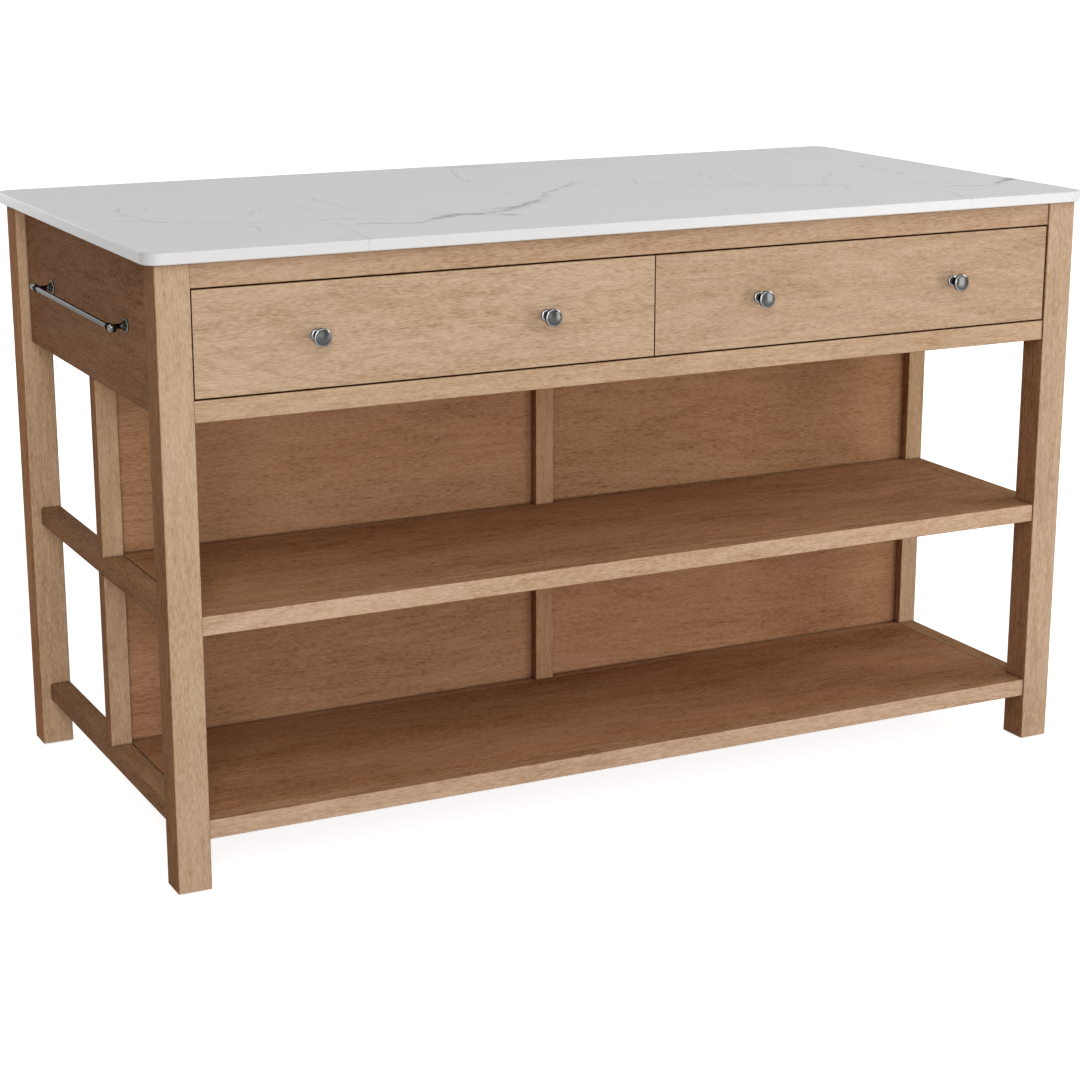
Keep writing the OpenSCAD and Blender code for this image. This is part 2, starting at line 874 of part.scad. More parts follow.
// A row of balls in its cage strip, from y0 on.
module ball_row(u, v, y0) {
    row_l = (ball_count - 1) * ball_pitch + ball_d + cage_w;
    translate([u - cage_w / 2, y0, v - cage_t / 2]) cube([cage_w, row_l, cage_t]);
    for (i = [0 : ball_count - 1]) {
        translate([u, y0 + row_l / 2 + (i - (ball_count - 1) / 2) * ball_pitch, v])
            sphere(d = ball_d, $fn = fn_ball);
    }
}

// The rows between cabinet and middle member stay at the back of the middle member,
// and the rows between middle and drawer member at its front, so all keep their races.
module ball_rows() {
    for (m = [0, 1]) {
        mirror([0, 0, m]) {
            ball_row(outer_row_u, outer_row_v, slide_l / 2 + row_margin);
            ball_row(inner_row_u, inner_row_v, row_margin);
        }
    }
}

// The cabinet members of all four slides.
module slide_cabinet_members() {
    color(zinc)
        for (s = [-1, 1], k = [0, 1]) {
            at_side(s) slide_place(k) cabinet_member();
        }
}

// The screws that hold the cabinet members.
module slide_cabinet_screws() {
    color(zinc)
        for (s = [-1, 1], k = [0, 1], y = slide_screws) {
            at_side(s) slide_place(k) slide_screw([sheet_t, y, 0], -1);
        }
}

// The middle members of one drawer's two slides, with their balls.
module drawer_slide_middles(s) {
    color(zinc)
        for (k = [0, 1]) {
            at_side(s) slide_place(k) {
                middle_member();
                ball_rows();
            }
        }
}

// The drawer members of one drawer's two slides.
module drawer_slide_members(s) {
    color(zinc)
        for (k = [0, 1]) {
            at_side(s) slide_place(k) drawer_member();
        }
}

// ---------- towel bar ----------

// The outline of half the bar: rod, ring, waist and domed button.
function bar_outline() =
    let (
        rod_r = bar_d / 2,
        ring_r = bar_ring_d / 2,
        waist_r = rod_r - bar_waist_under,
        button_r = rod_r + bar_button_over,
        button_y = bar_pitch / 2 + bar_past - button_r,
        waist_y = button_y - button_r * sin(bar_button_open),
        ring_y1 = waist_y - bar_waist_l,
        ring_y0 = ring_y1 - bar_ring_t
    )
    concat(
        [[0, 0], [rod_r, 0], [rod_r, ring_y0]],
        [[ring_r - bar_ring_ease, ring_y0], [ring_r, ring_y0 + bar_ring_ease]],
        [[ring_r, ring_y1 - bar_ring_ease], [ring_r - bar_ring_ease, ring_y1]],
        [[waist_r, ring_y1], [waist_r, waist_y]],
        [for (i = [0 : button_steps])
            let (a = -bar_button_open + (90 + bar_button_open) * i / button_steps)
            [button_r * cos(a), button_y + button_r * sin(a)]]
    );

// The bar: a plain rod with a ring, a waist and a domed button at each end.
module towel_bar() {
    color(nickel)
        translate([bar_x, mid_y, bar_z])
            for (m = [0, 1]) {
                mirror([0, m, 0])
                    rotate([-90, 0, 0]) rotate_extrude($fn = fn_small) polygon(bar_outline());
            }
}

// The outline of half a post: a base, a long flare and a neck.
function bar_post_outline() =
    let (base_r = bar_base_d / 2, neck_r = bar_neck_d / 2)
    concat(
        [[0, 0], [base_r, 0], [base_r, bar_base_t]],
        hollow(base_r - turned_ease, neck_r, bar_base_t, bar_flare_l, [0 : 15 : 90]),
        [[neck_r, bar_out], [0, bar_out]]
    );

// A post: a flared base on the panel, a neck, and an eye that the bar runs through.
module bar_post(y) {
    difference() {
        union() {
            translate([-panel_x1, y, bar_z])
                rotate([0, -90, 0]) rotate_extrude($fn = fn_large) polygon(bar_post_outline());
            rod([bar_x, y - bar_eye_l / 2, bar_z], "y", bar_eye_l, bar_eye_d);
        }
        rod([bar_x, y - bar_eye_l, bar_z], "y", 2 * bar_eye_l, bar_d + 2 * screw_play);
        screw_hole([-panel_x1 + cut, y, bar_z], "x", -(grip_l + 2 * cut));
    }
}

module towel_bar_posts() {
    color(nickel)
        for (y = bar_ys) {
            bar_post(y);
        }
}

module towel_bar_screws() {
    color(zinc)
        for (y = bar_ys) {
            screw([-panel_x0, y, bar_z], "x", -(panel_t + grip_l));
        }
}

// ---------- pieces ----------

module countertop() { worktop(); }
module leg_front_left() { leg(-1, -1); }
module leg_front_right() { leg(1, -1); }
module leg_back_left() { leg(-1, 1); }
module leg_back_right() { leg(1, 1); }
module top_front_rail() { front_rail(top_rail); }
module lower_front_rail() { front_rail(lower_rail); }
module side_panel_left() { box_side_panel(-1); }
module side_panel_right() { box_side_panel(1); }
module mid_stretcher_left() { stretcher(-1, mid_stretcher, mid_back_rail); }
module mid_stretcher_right() { stretcher(1, mid_stretcher, mid_back_rail); }
module low_stretcher_left() { stretcher(-1, low_stretcher, low_back_rail); }
module low_stretcher_right() { stretcher(1, low_stretcher, low_back_rail); }
module mid_shelf_front_rail() { front_rail(mid_front_rail); }
module mid_shelf_back_rail() { back_rail(mid_back_rail); }
module low_shelf_front_rail() { front_rail(low_front_rail); }
module low_shelf_back_rail() { back_rail(low_back_rail); }
module mid_shelf_panel() { shelf_panel(mid_shelf_z); }
module low_shelf_panel() { shelf_panel(low_shelf_z); }
module post_upper_left() { post(-1, mid_shelf_z, box_z); }
module post_upper_right() { post(1, mid_shelf_z, box_z); }
module post_lower_left() { post(-1, low_shelf_z, mid_shelf_z - shelf_rail_h); }
module post_lower_right() { post(1, low_shelf_z, mid_shelf_z - shelf_rail_h); }
module stile_upper() { stile(mid_shelf_z, box_z); }
module stile_lower() { stile(low_shelf_z, mid_shelf_z - shelf_rail_h); }
module back_panel_upper_left() { back_panel(-1, mid_shelf_z, box_z); }
module back_panel_upper_right() { back_panel(1, mid_shelf_z, box_z); }
module back_panel_lower_left() { back_panel(-1, low_shelf_z, mid_shelf_z - shelf_rail_h); }
module back_panel_lower_right() { back_panel(1, low_shelf_z, mid_shelf_z - shelf_rail_h); }
module drawer_left_front() { drawer_front(-1); }
module drawer_left_side_inner() { drawer_side(-1, 0); }
module drawer_left_side_outer() { drawer_side(-1, 1); }
module drawer_left_back() { drawer_back(-1); }
module drawer_left_bottom() { drawer_bottom(-1); }
module drawer_left_knobs() { drawer_knobs(-1); }
module drawer_left_screws() { drawer_screws(-1); }
module drawer_left_slide_members() { drawer_slide_members(-1); }
module drawer_left_slide_middles() { drawer_slide_middles(-1); }
module drawer_right_front() { drawer_front(1); }
module drawer_right_side_inner() { drawer_side(1, 0); }
module drawer_right_side_outer() { drawer_side(1, 1); }
module drawer_right_back() { drawer_back(1); }
module drawer_right_bottom() { drawer_bottom(1); }
module drawer_right_knobs() { drawer_knobs(1); }
module drawer_right_screws() { drawer_screws(1); }
module drawer_right_slide_members() { drawer_slide_members(1); }
module drawer_right_slide_middles() { drawer_slide_middles(1); }

countertop();
leg_front_left();
leg_front_right();
leg_back_left();
leg_back_right();
leg_glides();
top_front_rail();
lower_front_rail();
back_apron();
side_panel_left();
side_panel_right();
cross_board();
centre_partition();
slide_packers();
worktop_battens();
worktop_batten_screws();
mid_stretcher_left();
mid_stretcher_right();
low_stretcher_left();
low_stretcher_right();
mid_shelf_front_rail();
mid_shelf_back_rail();
low_shelf_front_rail();
low_shelf_back_rail();
mid_shelf_panel();
low_shelf_panel();
shelf_cleats();
post_upper_left();
post_upper_right();
post_lower_left();
post_lower_right();
stile_upper();
stile_lower();
back_panel_upper_left();
back_panel_upper_right();
back_panel_lower_left();
back_panel_lower_right();
slide_cabinet_members();
slide_cabinet_screws();
towel_bar();
towel_bar_posts();
towel_bar_screws();
drawer_left_front();
drawer_left_side_inner();
drawer_left_side_outer();
drawer_left_back();
drawer_left_bottom();
drawer_left_knobs();
drawer_left_screws();
drawer_left_slide_members();
drawer_left_slide_middles();
drawer_right_front();
drawer_right_side_inner();
drawer_right_side_outer();
drawer_right_back();
drawer_right_bottom();
drawer_right_knobs();
drawer_right_screws();
drawer_right_slide_members();
drawer_right_slide_middles();
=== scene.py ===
# %% [markdown]
# # A timber kitchen island with a stone worktop
#
# The island is a leg frame of brushed, clear-lacquered light brown timber. It carries a thin
# white marble slab, two drawers with turned metal knobs, two shelves with panelled backs, and a
# towel bar on its left side. The joinery is already solved: every board, slide and screw comes
# from the CAD model with its true size. What this lesson adds is what the eye reads as real:
# grain that runs the right way in each board, veins in the stone, polished turned metal, and a
# soft studio round it all.

# %% Load the joinery as a fixed frame
import math
import random

import bmesh
import bpy
from mathutils import Matrix, Vector


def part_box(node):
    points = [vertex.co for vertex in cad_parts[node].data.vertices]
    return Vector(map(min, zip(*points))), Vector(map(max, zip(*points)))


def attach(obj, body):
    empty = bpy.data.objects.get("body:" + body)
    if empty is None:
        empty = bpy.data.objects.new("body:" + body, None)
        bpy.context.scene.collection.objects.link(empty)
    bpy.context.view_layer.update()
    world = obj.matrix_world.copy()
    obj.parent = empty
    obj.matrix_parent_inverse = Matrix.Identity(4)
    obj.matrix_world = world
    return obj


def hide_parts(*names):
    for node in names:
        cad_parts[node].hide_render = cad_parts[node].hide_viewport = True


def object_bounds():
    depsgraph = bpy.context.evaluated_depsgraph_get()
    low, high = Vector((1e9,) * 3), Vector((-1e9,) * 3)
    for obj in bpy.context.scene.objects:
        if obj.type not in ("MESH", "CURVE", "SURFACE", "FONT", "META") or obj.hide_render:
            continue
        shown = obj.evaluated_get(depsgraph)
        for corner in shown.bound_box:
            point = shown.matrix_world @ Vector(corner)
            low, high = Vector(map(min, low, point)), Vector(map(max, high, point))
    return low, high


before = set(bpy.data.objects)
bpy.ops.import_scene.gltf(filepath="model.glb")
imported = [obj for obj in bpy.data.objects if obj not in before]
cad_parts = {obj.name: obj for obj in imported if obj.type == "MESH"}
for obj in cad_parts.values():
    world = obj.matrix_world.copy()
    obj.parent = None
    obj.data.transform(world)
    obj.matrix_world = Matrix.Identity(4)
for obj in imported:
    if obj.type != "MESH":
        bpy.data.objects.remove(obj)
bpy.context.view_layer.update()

# %% [markdown]
# ## Writing shader nodes in short lines
#
# A finish on real timber or stone is a mix of many small causes, so each material here is a
# tree of a few dozen nodes. Wiring these one socket at a time would hide the idea in the
# plumbing. One helper adds a node, sets it and feeds it, and two more do arithmetic. The
# trees then read from top to bottom like a recipe.

# %% Helpers that add and feed one shader node
def put(tree, kind, feeds=None, **settings):
    """Add a node of this kind, set its properties, and feed its inputs with values or sockets."""
    node = tree.nodes.new("ShaderNode" + kind)
    for name, value in settings.items():
        setattr(node, name, value)
    for key, value in (feeds or {}).items():
        if isinstance(value, bpy.types.NodeSocket):
            tree.links.new(value, node.inputs[key])
        else:
            node.inputs[key].default_value = value
    return node


def sums(tree, operation, a, b=0.0, c=0.0):
    """One step of arithmetic on numbers."""
    return put(tree, "Math", {0: a, 1: b, 2: c}, operation=operation).outputs[0]


def moves(tree, operation, a, b=(0.0, 0.0, 0.0)):
    """One step of arithmetic on points and directions."""
    return put(tree, "VectorMath", {0: a, 1: b}, operation=operation).outputs[0]


print("one step of a recipe is written with", ", ".join(step.__name__ for step in (put, sums, moves)))

# %% [markdown]
# ## Randomness, soft steps and scales of colour
#
# Four things come back in every finish. A cloud is soft noise that changes so many times per
# metre, so it can be stretched like a fibre or left round like a grain of stone. A soft step
# turns its values into "not here" and "here" without a hard edge. A scale of colours gives
# each value its tone, and a bump lets light catch what is too fine to be modelled. The sizes
# are real ones, because each point is given in metres on its own piece.

# %% Clouds, soft steps, patches, colours and bumps
COLOUR_A, COLOUR_B, COLOUR_OUT = 6, 7, 2  # where a Mix node keeps two colours and their mix


def every_way(value):
    """The same value along all three axes."""
    return (value, value, value)


def cloud(tree, point, stretch, detail=2.0, roughness=0.5):
    """Soft random values from 0 to 1 that change this many times per metre along each axis."""
    return put(tree, "TexNoise", {
        "Vector": moves(tree, "MULTIPLY", point, stretch),
        "Scale": 1.0,
        "Detail": detail,
        "Roughness": roughness,
    }).outputs["Fac"]


def between(tree, value, low, high, to_low=0.0, to_high=1.0):
    """A soft step: value at low gives to_low, and at high gives to_high."""
    return put(tree, "MapRange", {
        "Value": value, "From Min": low, "From Max": high, "To Min": to_low, "To Max": to_high,
    }, interpolation_type="SMOOTHSTEP").outputs[0]


def patches(tree, point, noise, shows):
    """A cloud with these settings, cut by a soft step with those."""
    return between(tree, cloud(tree, point, *noise), *shows)


def tint_scale(tree, value, stops):
    """A scale of colours: stops are (place, linear colour)."""
    ramp = put(tree, "ValToRGB", {"Fac": value})
    scale = ramp.color_ramp
    while len(scale.elements) < len(stops):
        scale.elements.new(0.5)
    for element, (place, colour) in zip(scale.elements, stops):
        element.position = place
        element.color = (*colour, 1.0)
    return ramp.outputs["Color"]


def blend(tree, share, ground, other):
    """Two colours mixed: share 0 shows the ground, and 1 shows the other."""
    mix = put(tree, "Mix", {"Factor": share, COLOUR_A: ground, COLOUR_B: other}, data_type="RGBA")
    return mix.outputs[COLOUR_OUT]


def bumps(tree, height, strength, metres):
    """The surface's direction where this height, once it is this many metres, tilts it."""
    return put(tree, "Bump", {
        "Strength": strength, "Distance": metres, "Height": height,
    }).outputs["Normal"]


print("a recipe is put together from", ", ".join(
    part.__name__ for part in (cloud, between, patches, tint_scale, blend, bumps)))

# %% [markdown]
# ## A blank finish and a blank group
#
# Every finish starts from an empty material that knows where a point lies on its piece, and
# ends in one shader. A recipe that many boards share is kept as a node group: it is made once,
# and each board only feeds it, as a workshop keeps one jig for many cuts.

# %% Starting and ending finishes and groups
def new_finish(name):
    """An empty material, its node tree, and each point's place on its own piece, in metres."""
    finish = bpy.data.materials.new(name)
    finish.use_nodes = True
    tree = finish.node_tree
    tree.nodes.clear()
    return finish, tree, put(tree, "TexCoord").outputs["Object"]


def show(tree, feeds):
    """End a finish in one shader that is fed with these values."""
    surface = put(tree, "BsdfPrincipled", feeds).outputs[0]
    put(tree, "OutputMaterial", {"Surface": surface})


def new_group(name, takes, gives):
    """An empty node group that takes these sockets, by kind, and gives these numbers."""
    group = bpy.data.node_groups.new(name, "ShaderNodeTree")
    for socket, kind in takes.items():
        group.interface.new_socket(socket, in_out="INPUT", socket_type="NodeSocket" + kind)
    for socket in gives:
        group.interface.new_socket(socket, in_out="OUTPUT", socket_type="NodeSocketFloat")
    return group, group.nodes.new("NodeGroupInput").outputs


def give(group, results):
    """Send these values out of a node group."""
    end = group.nodes.new("NodeGroupOutput").inputs
    for name, value in results.items():
        group.links.new(value, end[name])


print("finishes start with", new_finish.__name__, "and groups with", new_group.__name__)

# %% [markdown]
# ## How timber gets its rings
#
# A trunk is a stack of cones, so a board's figure is where its faces cut through the rings. A
# picture of grain wrapped round a board would run the wrong way on the edges. Here the rings
# are solid: each point of the board asks how far it is from the heart of its tree, and the
# heart line leans a little through the board. Where the face is nearly parallel to the rings
# the bands spread out and close in long flames, and elsewhere they run straight.

# %% The rings of the trunk
RINGS_PER_METRE = 135.0
LATE_WOOD_STARTS = (0.25, 0.88)  # parts of a ring's width between which it darkens
LATE_WOOD_ENDS = (1.0, 0.9)
HEART_STRAYS = 0.05  # metres
HEART_STRAY_NOISE = (1.6, 7.0, 7.0)
RING_PATCHES = ((2.5, 9.0, 9.0),)  # a cloud's changes per metre along, across and deep
RING_PATCHES_SHOW = (0.38, 0.62)


def ring_marks(tree, point, heart, flame):
    """The dark late wood of each ring round a leaning heart line, in patches."""
    line = put(tree, "SeparateXYZ", {0: heart}).outputs  # x is the lean, y and z are where it runs
    place = put(tree, "SeparateXYZ", {0: point}).outputs
    stray = cloud(tree, point, HEART_STRAY_NOISE)
    drift = sums(tree, "MULTIPLY_ADD", stray, HEART_STRAYS, -HEART_STRAYS / 2)
    depth = sums(tree, "MULTIPLY_ADD", place["X"], line["X"], line["Z"])
    from_heart = put(tree, "CombineXYZ", {
        "X": 0.0,
        "Y": sums(tree, "ADD", sums(tree, "SUBTRACT", place["Y"], line["Y"]), drift),
        "Z": sums(tree, "ADD", sums(tree, "ADD", place["Z"], depth), drift),
    }).outputs[0]
    radius = put(tree, "VectorMath", {0: from_heart}, operation="LENGTH").outputs["Value"]
    ring = sums(tree, "FRACT", sums(tree, "MULTIPLY", radius, RINGS_PER_METRE))
    darkens, ends = between(tree, ring, *LATE_WOOD_STARTS), between(tree, ring, *LATE_WOOD_ENDS)
    late_wood = sums(tree, "MULTIPLY", darkens, ends)
    here = patches(tree, point, RING_PATCHES, RING_PATCHES_SHOW)
    return sums(tree, "MULTIPLY", late_wood, sums(tree, "MULTIPLY", here, flame))


print("a ring is", round(1000 / RINGS_PER_METRE, 1), "mm wide")

# %% [markdown]
# ## The marks of the fibres
#
# On top of the rings lie the fibres. They are what a lacquered and brushed board shows from
# a step away: short dark dashes along the grain, a soft waviness across it, and slow changes
# of tone. Each of these is noise, stretched by how long and how high the real mark is.

# %% The figure of a board, as a node group
FIBRE_MARKS = {  # changes per metre along and across the grain, detail, roughness, weight
    "broad": (2.6, 11.0, 2.0, 0.5, 0.42),
    "waves": (14.0, 70.0, 3.0, 0.6, 0.38),
    "streaks": (12.0, 190.0, 2.0, 0.5, 0.28),
    "fibres": (72.0, 500.0, 2.0, 0.6, 0.64),
    "fuzz": (110.0, 900.0, 1.0, 0.5, 0.72),
}
DASHES = ((42.0, 360.0, 360.0), 1.0)  # the pores: changes per metre, detail
DASHES_SHOW = (0.6, 0.72)
DASH_PATCHES = ((7.0, 30.0, 30.0),)
DASH_PATCHES_SHOW = (0.4, 0.65)
MIDDLE_TONE = 0.5
RING_WEIGHT = 0.30
PORE_WEIGHT = 0.10
FIBRE_RELIEF = 0.6


def make_figure_group():
    """Point in grain space (x along the grain, metres) and heart line in, tone and relief out."""
    group, start = new_group(
        "timber figure", {"Point": "Vector", "Heart": "Vector", "Flame": "Float"}, ("Tone", "Relief"))
    point = start["Point"]
    ring_mark = ring_marks(group, point, start["Heart"], start["Flame"])
    marks = {}
    tone = MIDDLE_TONE
    for name, (along, across, detail, roughness, weight) in FIBRE_MARKS.items():
        marks[name] = cloud(group, point, (along, across, across), detail, roughness)
        share = sums(group, "MULTIPLY_ADD", marks[name], weight, -weight / 2)
        tone = sums(group, "ADD", tone, share)
    dashes = patches(group, point, DASHES, DASHES_SHOW)
    pores = sums(group, "MULTIPLY", dashes, patches(group, point, DASH_PATCHES, DASH_PATCHES_SHOW))
    tone = sums(group, "SUBTRACT", tone, sums(group, "MULTIPLY", ring_mark, RING_WEIGHT))
    tone = sums(group, "SUBTRACT", tone, sums(group, "MULTIPLY", pores, PORE_WEIGHT))
    relief = sums(group, "SUBTRACT", sums(group, "MULTIPLY", marks["fibres"], FIBRE_RELIEF), pores)
    give(group, {"Tone": tone, "Relief": relief})
    return group


FIGURE = make_figure_group()
print("the figure group has", len(FIGURE.nodes), "nodes")

# %% [markdown]
# ## A place in the trunk for each board
#
# No two boards come from the same place in the trunk. If all of them shared one material, the
# same streak would run from a leg into the rail beside it and the joints would vanish. So each
# board gets its own copy of the finish, with its own heart line and its own place in the
# noise. The noise is moved by a random distance, and the heart line is moved back with it, so
# that it stays where the board wants it.

# %% Cutting a board from the trunk
GRAIN_TURNS = {  # how object axes are put in grain order: along, across, deep
    "x": ("X", "Z", "Y"),
    "y": ("Y", "Z", "X"),
    "z": ("Z", "X", "Y"),
}
TRUNK_REACH = 9.0  # metres of noise, each way, that boards are cut from


def cut_from_trunk(tree, here, grain, heart, flame, chance):
    """The figure of one board, from its own stretch of the trunk."""
    axes = put(tree, "SeparateXYZ", {0: here}).outputs
    order = GRAIN_TURNS[grain]
    laid = put(tree, "CombineXYZ", {place: axes[axis] for place, axis in zip("XYZ", order)}).outputs[0]
    offset = [chance.uniform(-TRUNK_REACH, TRUNK_REACH) for _ in range(3)]
    lean, across, deep = heart
    return put(tree, "Group", {
        "Point": moves(tree, "ADD", laid, offset),
        "Heart": (lean, across + offset[1], deep - offset[2] - lean * offset[0]),
        "Flame": flame,
    }, node_tree=FIGURE).outputs


print("grain can run along", ", ".join(GRAIN_TURNS))

# %% [markdown]
# ## Painted shade on the cheeks, on upper and lower faces and in the crevices
#
# The faces that look sideways, up or down are multiplied by a deeper, browner tint, and their
# figure is made stronger. The tint is painted shade: it darkens those faces as if less light
# fell on them than on the fronts. The crevices between two boards darken over the last few
# millimetres, which is painted shade too. The Ambient Occlusion node finds these: it tells how
# open a point lies.

# %% Which faces get painted shade, and the crevices
CHEEK_PAINTED_SHADE = (0.63, 0.453, 0.342)
UPPER_PAINTED_SHADE = (0.75, 0.59, 0.45)
FACE_TURNED = (0.45, 0.85)  # how far a face has to look along an axis
CREVICE = 0.006  # metres
CREVICE_PAINTED_SHADE = (0.045, 0.020, 0.010, 1.0)
CREVICE_OPENS = (0.30, 0.85)
CREVICE_SAMPLES = 6


def turned_faces(tree):
    """How much a face is a cheek, and how much it is an upper or lower face."""
    facing = put(tree, "SeparateXYZ", {0: put(tree, "NewGeometry").outputs["Normal"]}).outputs
    return [between(tree, sums(tree, "ABSOLUTE", facing[axis]), *FACE_TURNED) for axis in "XZ"]


def paint_face_shade(tree, colour, cheek, upper):
    """Painted shade: deepen the colour on the cheeks and on the upper and lower faces."""
    for face, painted_tint in ((cheek, CHEEK_PAINTED_SHADE), (upper, UPPER_PAINTED_SHADE)):
        colour = blend(tree, face, colour, moves(tree, "MULTIPLY", colour, painted_tint))
    return colour


def paint_crevice_shade(tree, colour):
    """Painted shade: darken the colour where another board is close."""
    shelter = put(tree, "AmbientOcclusion", {"Distance": CREVICE}, samples=CREVICE_SAMPLES)
    crevice_shade = between(tree, shelter.outputs["AO"], *CREVICE_OPENS, 1.0, 0.0)
    return blend(tree, crevice_shade, colour, CREVICE_PAINTED_SHADE)


print("crevices darken over", round(CREVICE * 1000), "mm")

# %% [markdown]
# ## One finish for each board
#
# Only a handful of settings tell the boards apart: which way the grain runs, how strong the
# flames are, and whether the board is a little darker or redder than its neighbour. The
# lacquer is thin and matt. It seals the fibres, so the board shines softly, and the brushed
# pores stay as shallow grooves that a low bump can carry.

# %% The finish of one board
LACQUERED, SEALED = 0.72, 0.58  # roughness
HUE_STRAYS, DEPTH_STRAYS, LIGHT_STRAYS = 0.004, 0.05, 0.03
SAME_HUE = 0.5
CHEEK_FIGURE = 0.6  # how much stronger the figure is on the faces that get painted shade
RELIEF_RANGE = (-0.6, 0.6)
DULL_PORES, SHINY_FIBRES = 0.12, 0.05
GROOVE_STRENGTH, GROOVE_DEPTH = 0.35, 0.00025
TIMBER_SHEEN = 0.02
NO_TINT = (1.0, 1.0, 1.0)


def timber(name, grain, stops, heart, flame, tint=NO_TINT, figured=1.0, roughness=LACQUERED, with_face_shade=True):
    """A finish for one board, with its own stretch of the trunk."""
    chance = random.Random(name)
    finish, tree, here = new_finish(name + " timber")
    figure = cut_from_trunk(tree, here, grain, heart, flame, chance)
    cheek, upper = turned_faces(tree)
    either = sums(tree, "MAXIMUM", cheek, upper)
    contrast = sums(tree, "MULTIPLY_ADD", either, CHEEK_FIGURE * figured, figured)
    mark = sums(tree, "SUBTRACT", figure["Tone"], MIDDLE_TONE)
    colour = tint_scale(tree, sums(tree, "MULTIPLY_ADD", mark, contrast, MIDDLE_TONE), stops)
    colour = put(tree, "HueSaturation", {
        "Color": colour,
        "Hue": SAME_HUE + chance.uniform(-HUE_STRAYS, HUE_STRAYS),
        "Saturation": 1.0 + chance.uniform(-DEPTH_STRAYS, DEPTH_STRAYS),
        "Value": 1.0 + chance.uniform(-LIGHT_STRAYS, LIGHT_STRAYS),
    }).outputs["Color"]
    # painted shade: the faces that look sideways, up or down are darkened
    if with_face_shade:
        colour = paint_face_shade(tree, colour, cheek, upper)
    # the board's tint of painted light and shade, then painted shade in the crevices
    colour = paint_crevice_shade(tree, moves(tree, "MULTIPLY", colour, tint))
    relief = figure["Relief"]
    show(tree, {
        "Base Color": colour,
        "Roughness": between(
            tree, relief, *RELIEF_RANGE, roughness + DULL_PORES, roughness - SHINY_FIBRES),
        "Normal": bumps(tree, relief, GROOVE_STRENGTH, GROOVE_DEPTH),
        "Specular IOR Level": TIMBER_SHEEN,
    })
    finish.diffuse_color = (*stops[len(stops) // 2][1], 1.0)
    return finish


def dress(node, finish):
    """Give a CAD piece this finish."""
    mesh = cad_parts[node].data
    mesh.materials.clear()
    mesh.materials.append(finish)


print("brushed grooves are", GROOVE_DEPTH * 1000, "mm deep at most")

# %% [markdown]
# ## Grain along every board
#
# A joiner cuts each board so that its grain runs along its length, because that is how it
# stays straight and strong: legs, posts and stiles stand, rails and shelves run along the
# island, and stretchers and side panels run from front to back. The heart of the tree lies
# behind the board, a few centimetres to a hand away, and leans by a few degrees.

# %% Which way the grain runs in each show board
SHOW_BOARDS = {
    "leg_front_left": "z", "leg_front_right": "z", "leg_back_left": "z", "leg_back_right": "z",
    "post_upper_left": "z", "post_upper_right": "z", "post_lower_left": "z", "post_lower_right": "z",
    "stile_upper": "z", "stile_lower": "z",
    "top_front_rail": "x", "lower_front_rail": "x", "back_apron": "x",
    "mid_shelf_front_rail": "x", "mid_shelf_back_rail": "x",
    "low_shelf_front_rail": "x", "low_shelf_back_rail": "x",
    "mid_shelf_panel": "x", "low_shelf_panel": "x",
    "back_panel_upper_left": "x", "back_panel_upper_right": "x",
    "back_panel_lower_left": "x", "back_panel_lower_right": "x",
    "side_panel_left": "y", "side_panel_right": "y",
    "mid_stretcher_left": "y", "mid_stretcher_right": "y",
    "low_stretcher_left": "y", "low_stretcher_right": "y",
    "drawer_left_front": "x", "drawer_right_front": "x",
}
HEART_LEANS = (0.03, 0.14)  # metres per metre of board
HEART_BEHIND, HEART_ASIDE = (0.06, 0.16), 0.05  # metres


def heart_of(node, grain):
    """A heart line behind the board, from a few centimetres to a hand away."""
    chance = random.Random("heart of " + node)
    low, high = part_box(node)
    middle = {"X": (low.x + high.x) / 2, "Y": (low.y + high.y) / 2, "Z": (low.z + high.z) / 2}
    along, across, deep = (middle[axis] for axis in GRAIN_TURNS[grain])
    lean = chance.uniform(*HEART_LEANS) * chance.choice((-1, 1))
    behind = chance.uniform(*HEART_BEHIND)
    return lean, across + chance.uniform(-HEART_ASIDE, HEART_ASIDE), behind - deep - lean * along


print("show boards:", len(SHOW_BOARDS))

# %% [markdown]
# ## Tints of painted light and shade for the show boards
#
# Each show board's colour is multiplied by its own tint, and these tints are painted light and
# shade for where the board stands. The back panels, which stand in shade, are painted darker
# and redder, and they also have a livelier figure. The shelves' front rails are painted paler,
# and the back legs are painted lighter than the front ones. The left drawer front shows the one
# long flame of the front: ovals that open to the right beside its second knob. There the heart
# line is given, so that it comes close under the face.

# %% The tones of the show timber and a finish for each show board
SHOW_TIMBER = [
    (0.00, (0.205, 0.115, 0.062)),
    (0.30, (0.360, 0.232, 0.143)),
    (0.52, (0.450, 0.314, 0.213)),
    (0.75, (0.512, 0.374, 0.266)),
    (1.00, (0.585, 0.452, 0.342)),
]
# tints of painted light and shade, one for where each kind of board stands
BOARD_LIGHT_AND_SHADE_TINTS = {  # the first entry that is part of the board's name counts
    "back_panel": (0.83, 0.63, 0.49),
    "shelf_front": (1.08, 1.10, 1.12),
    "shelf_panel": (1.05, 0.95, 0.89),
    "leg_back_left": (1.52, 1.48, 1.42),
    "leg_front": (1.04, 1.04, 1.03),
    "post_": (1.04, 1.00, 0.93),
    "stile_": (0.95, 0.80, 0.66),
    "leg_back": (1.32, 1.23, 1.11),
}
FLAME = 0.22
OVAL_FLAME = 0.30
OVAL_LEAN = -0.16
OVAL_HIGH = 0.795
OVAL_DEEP, OVAL_AT = 0.08, -0.30  # metres behind the face, and where along the front
PANEL_FIGURE = 1.25

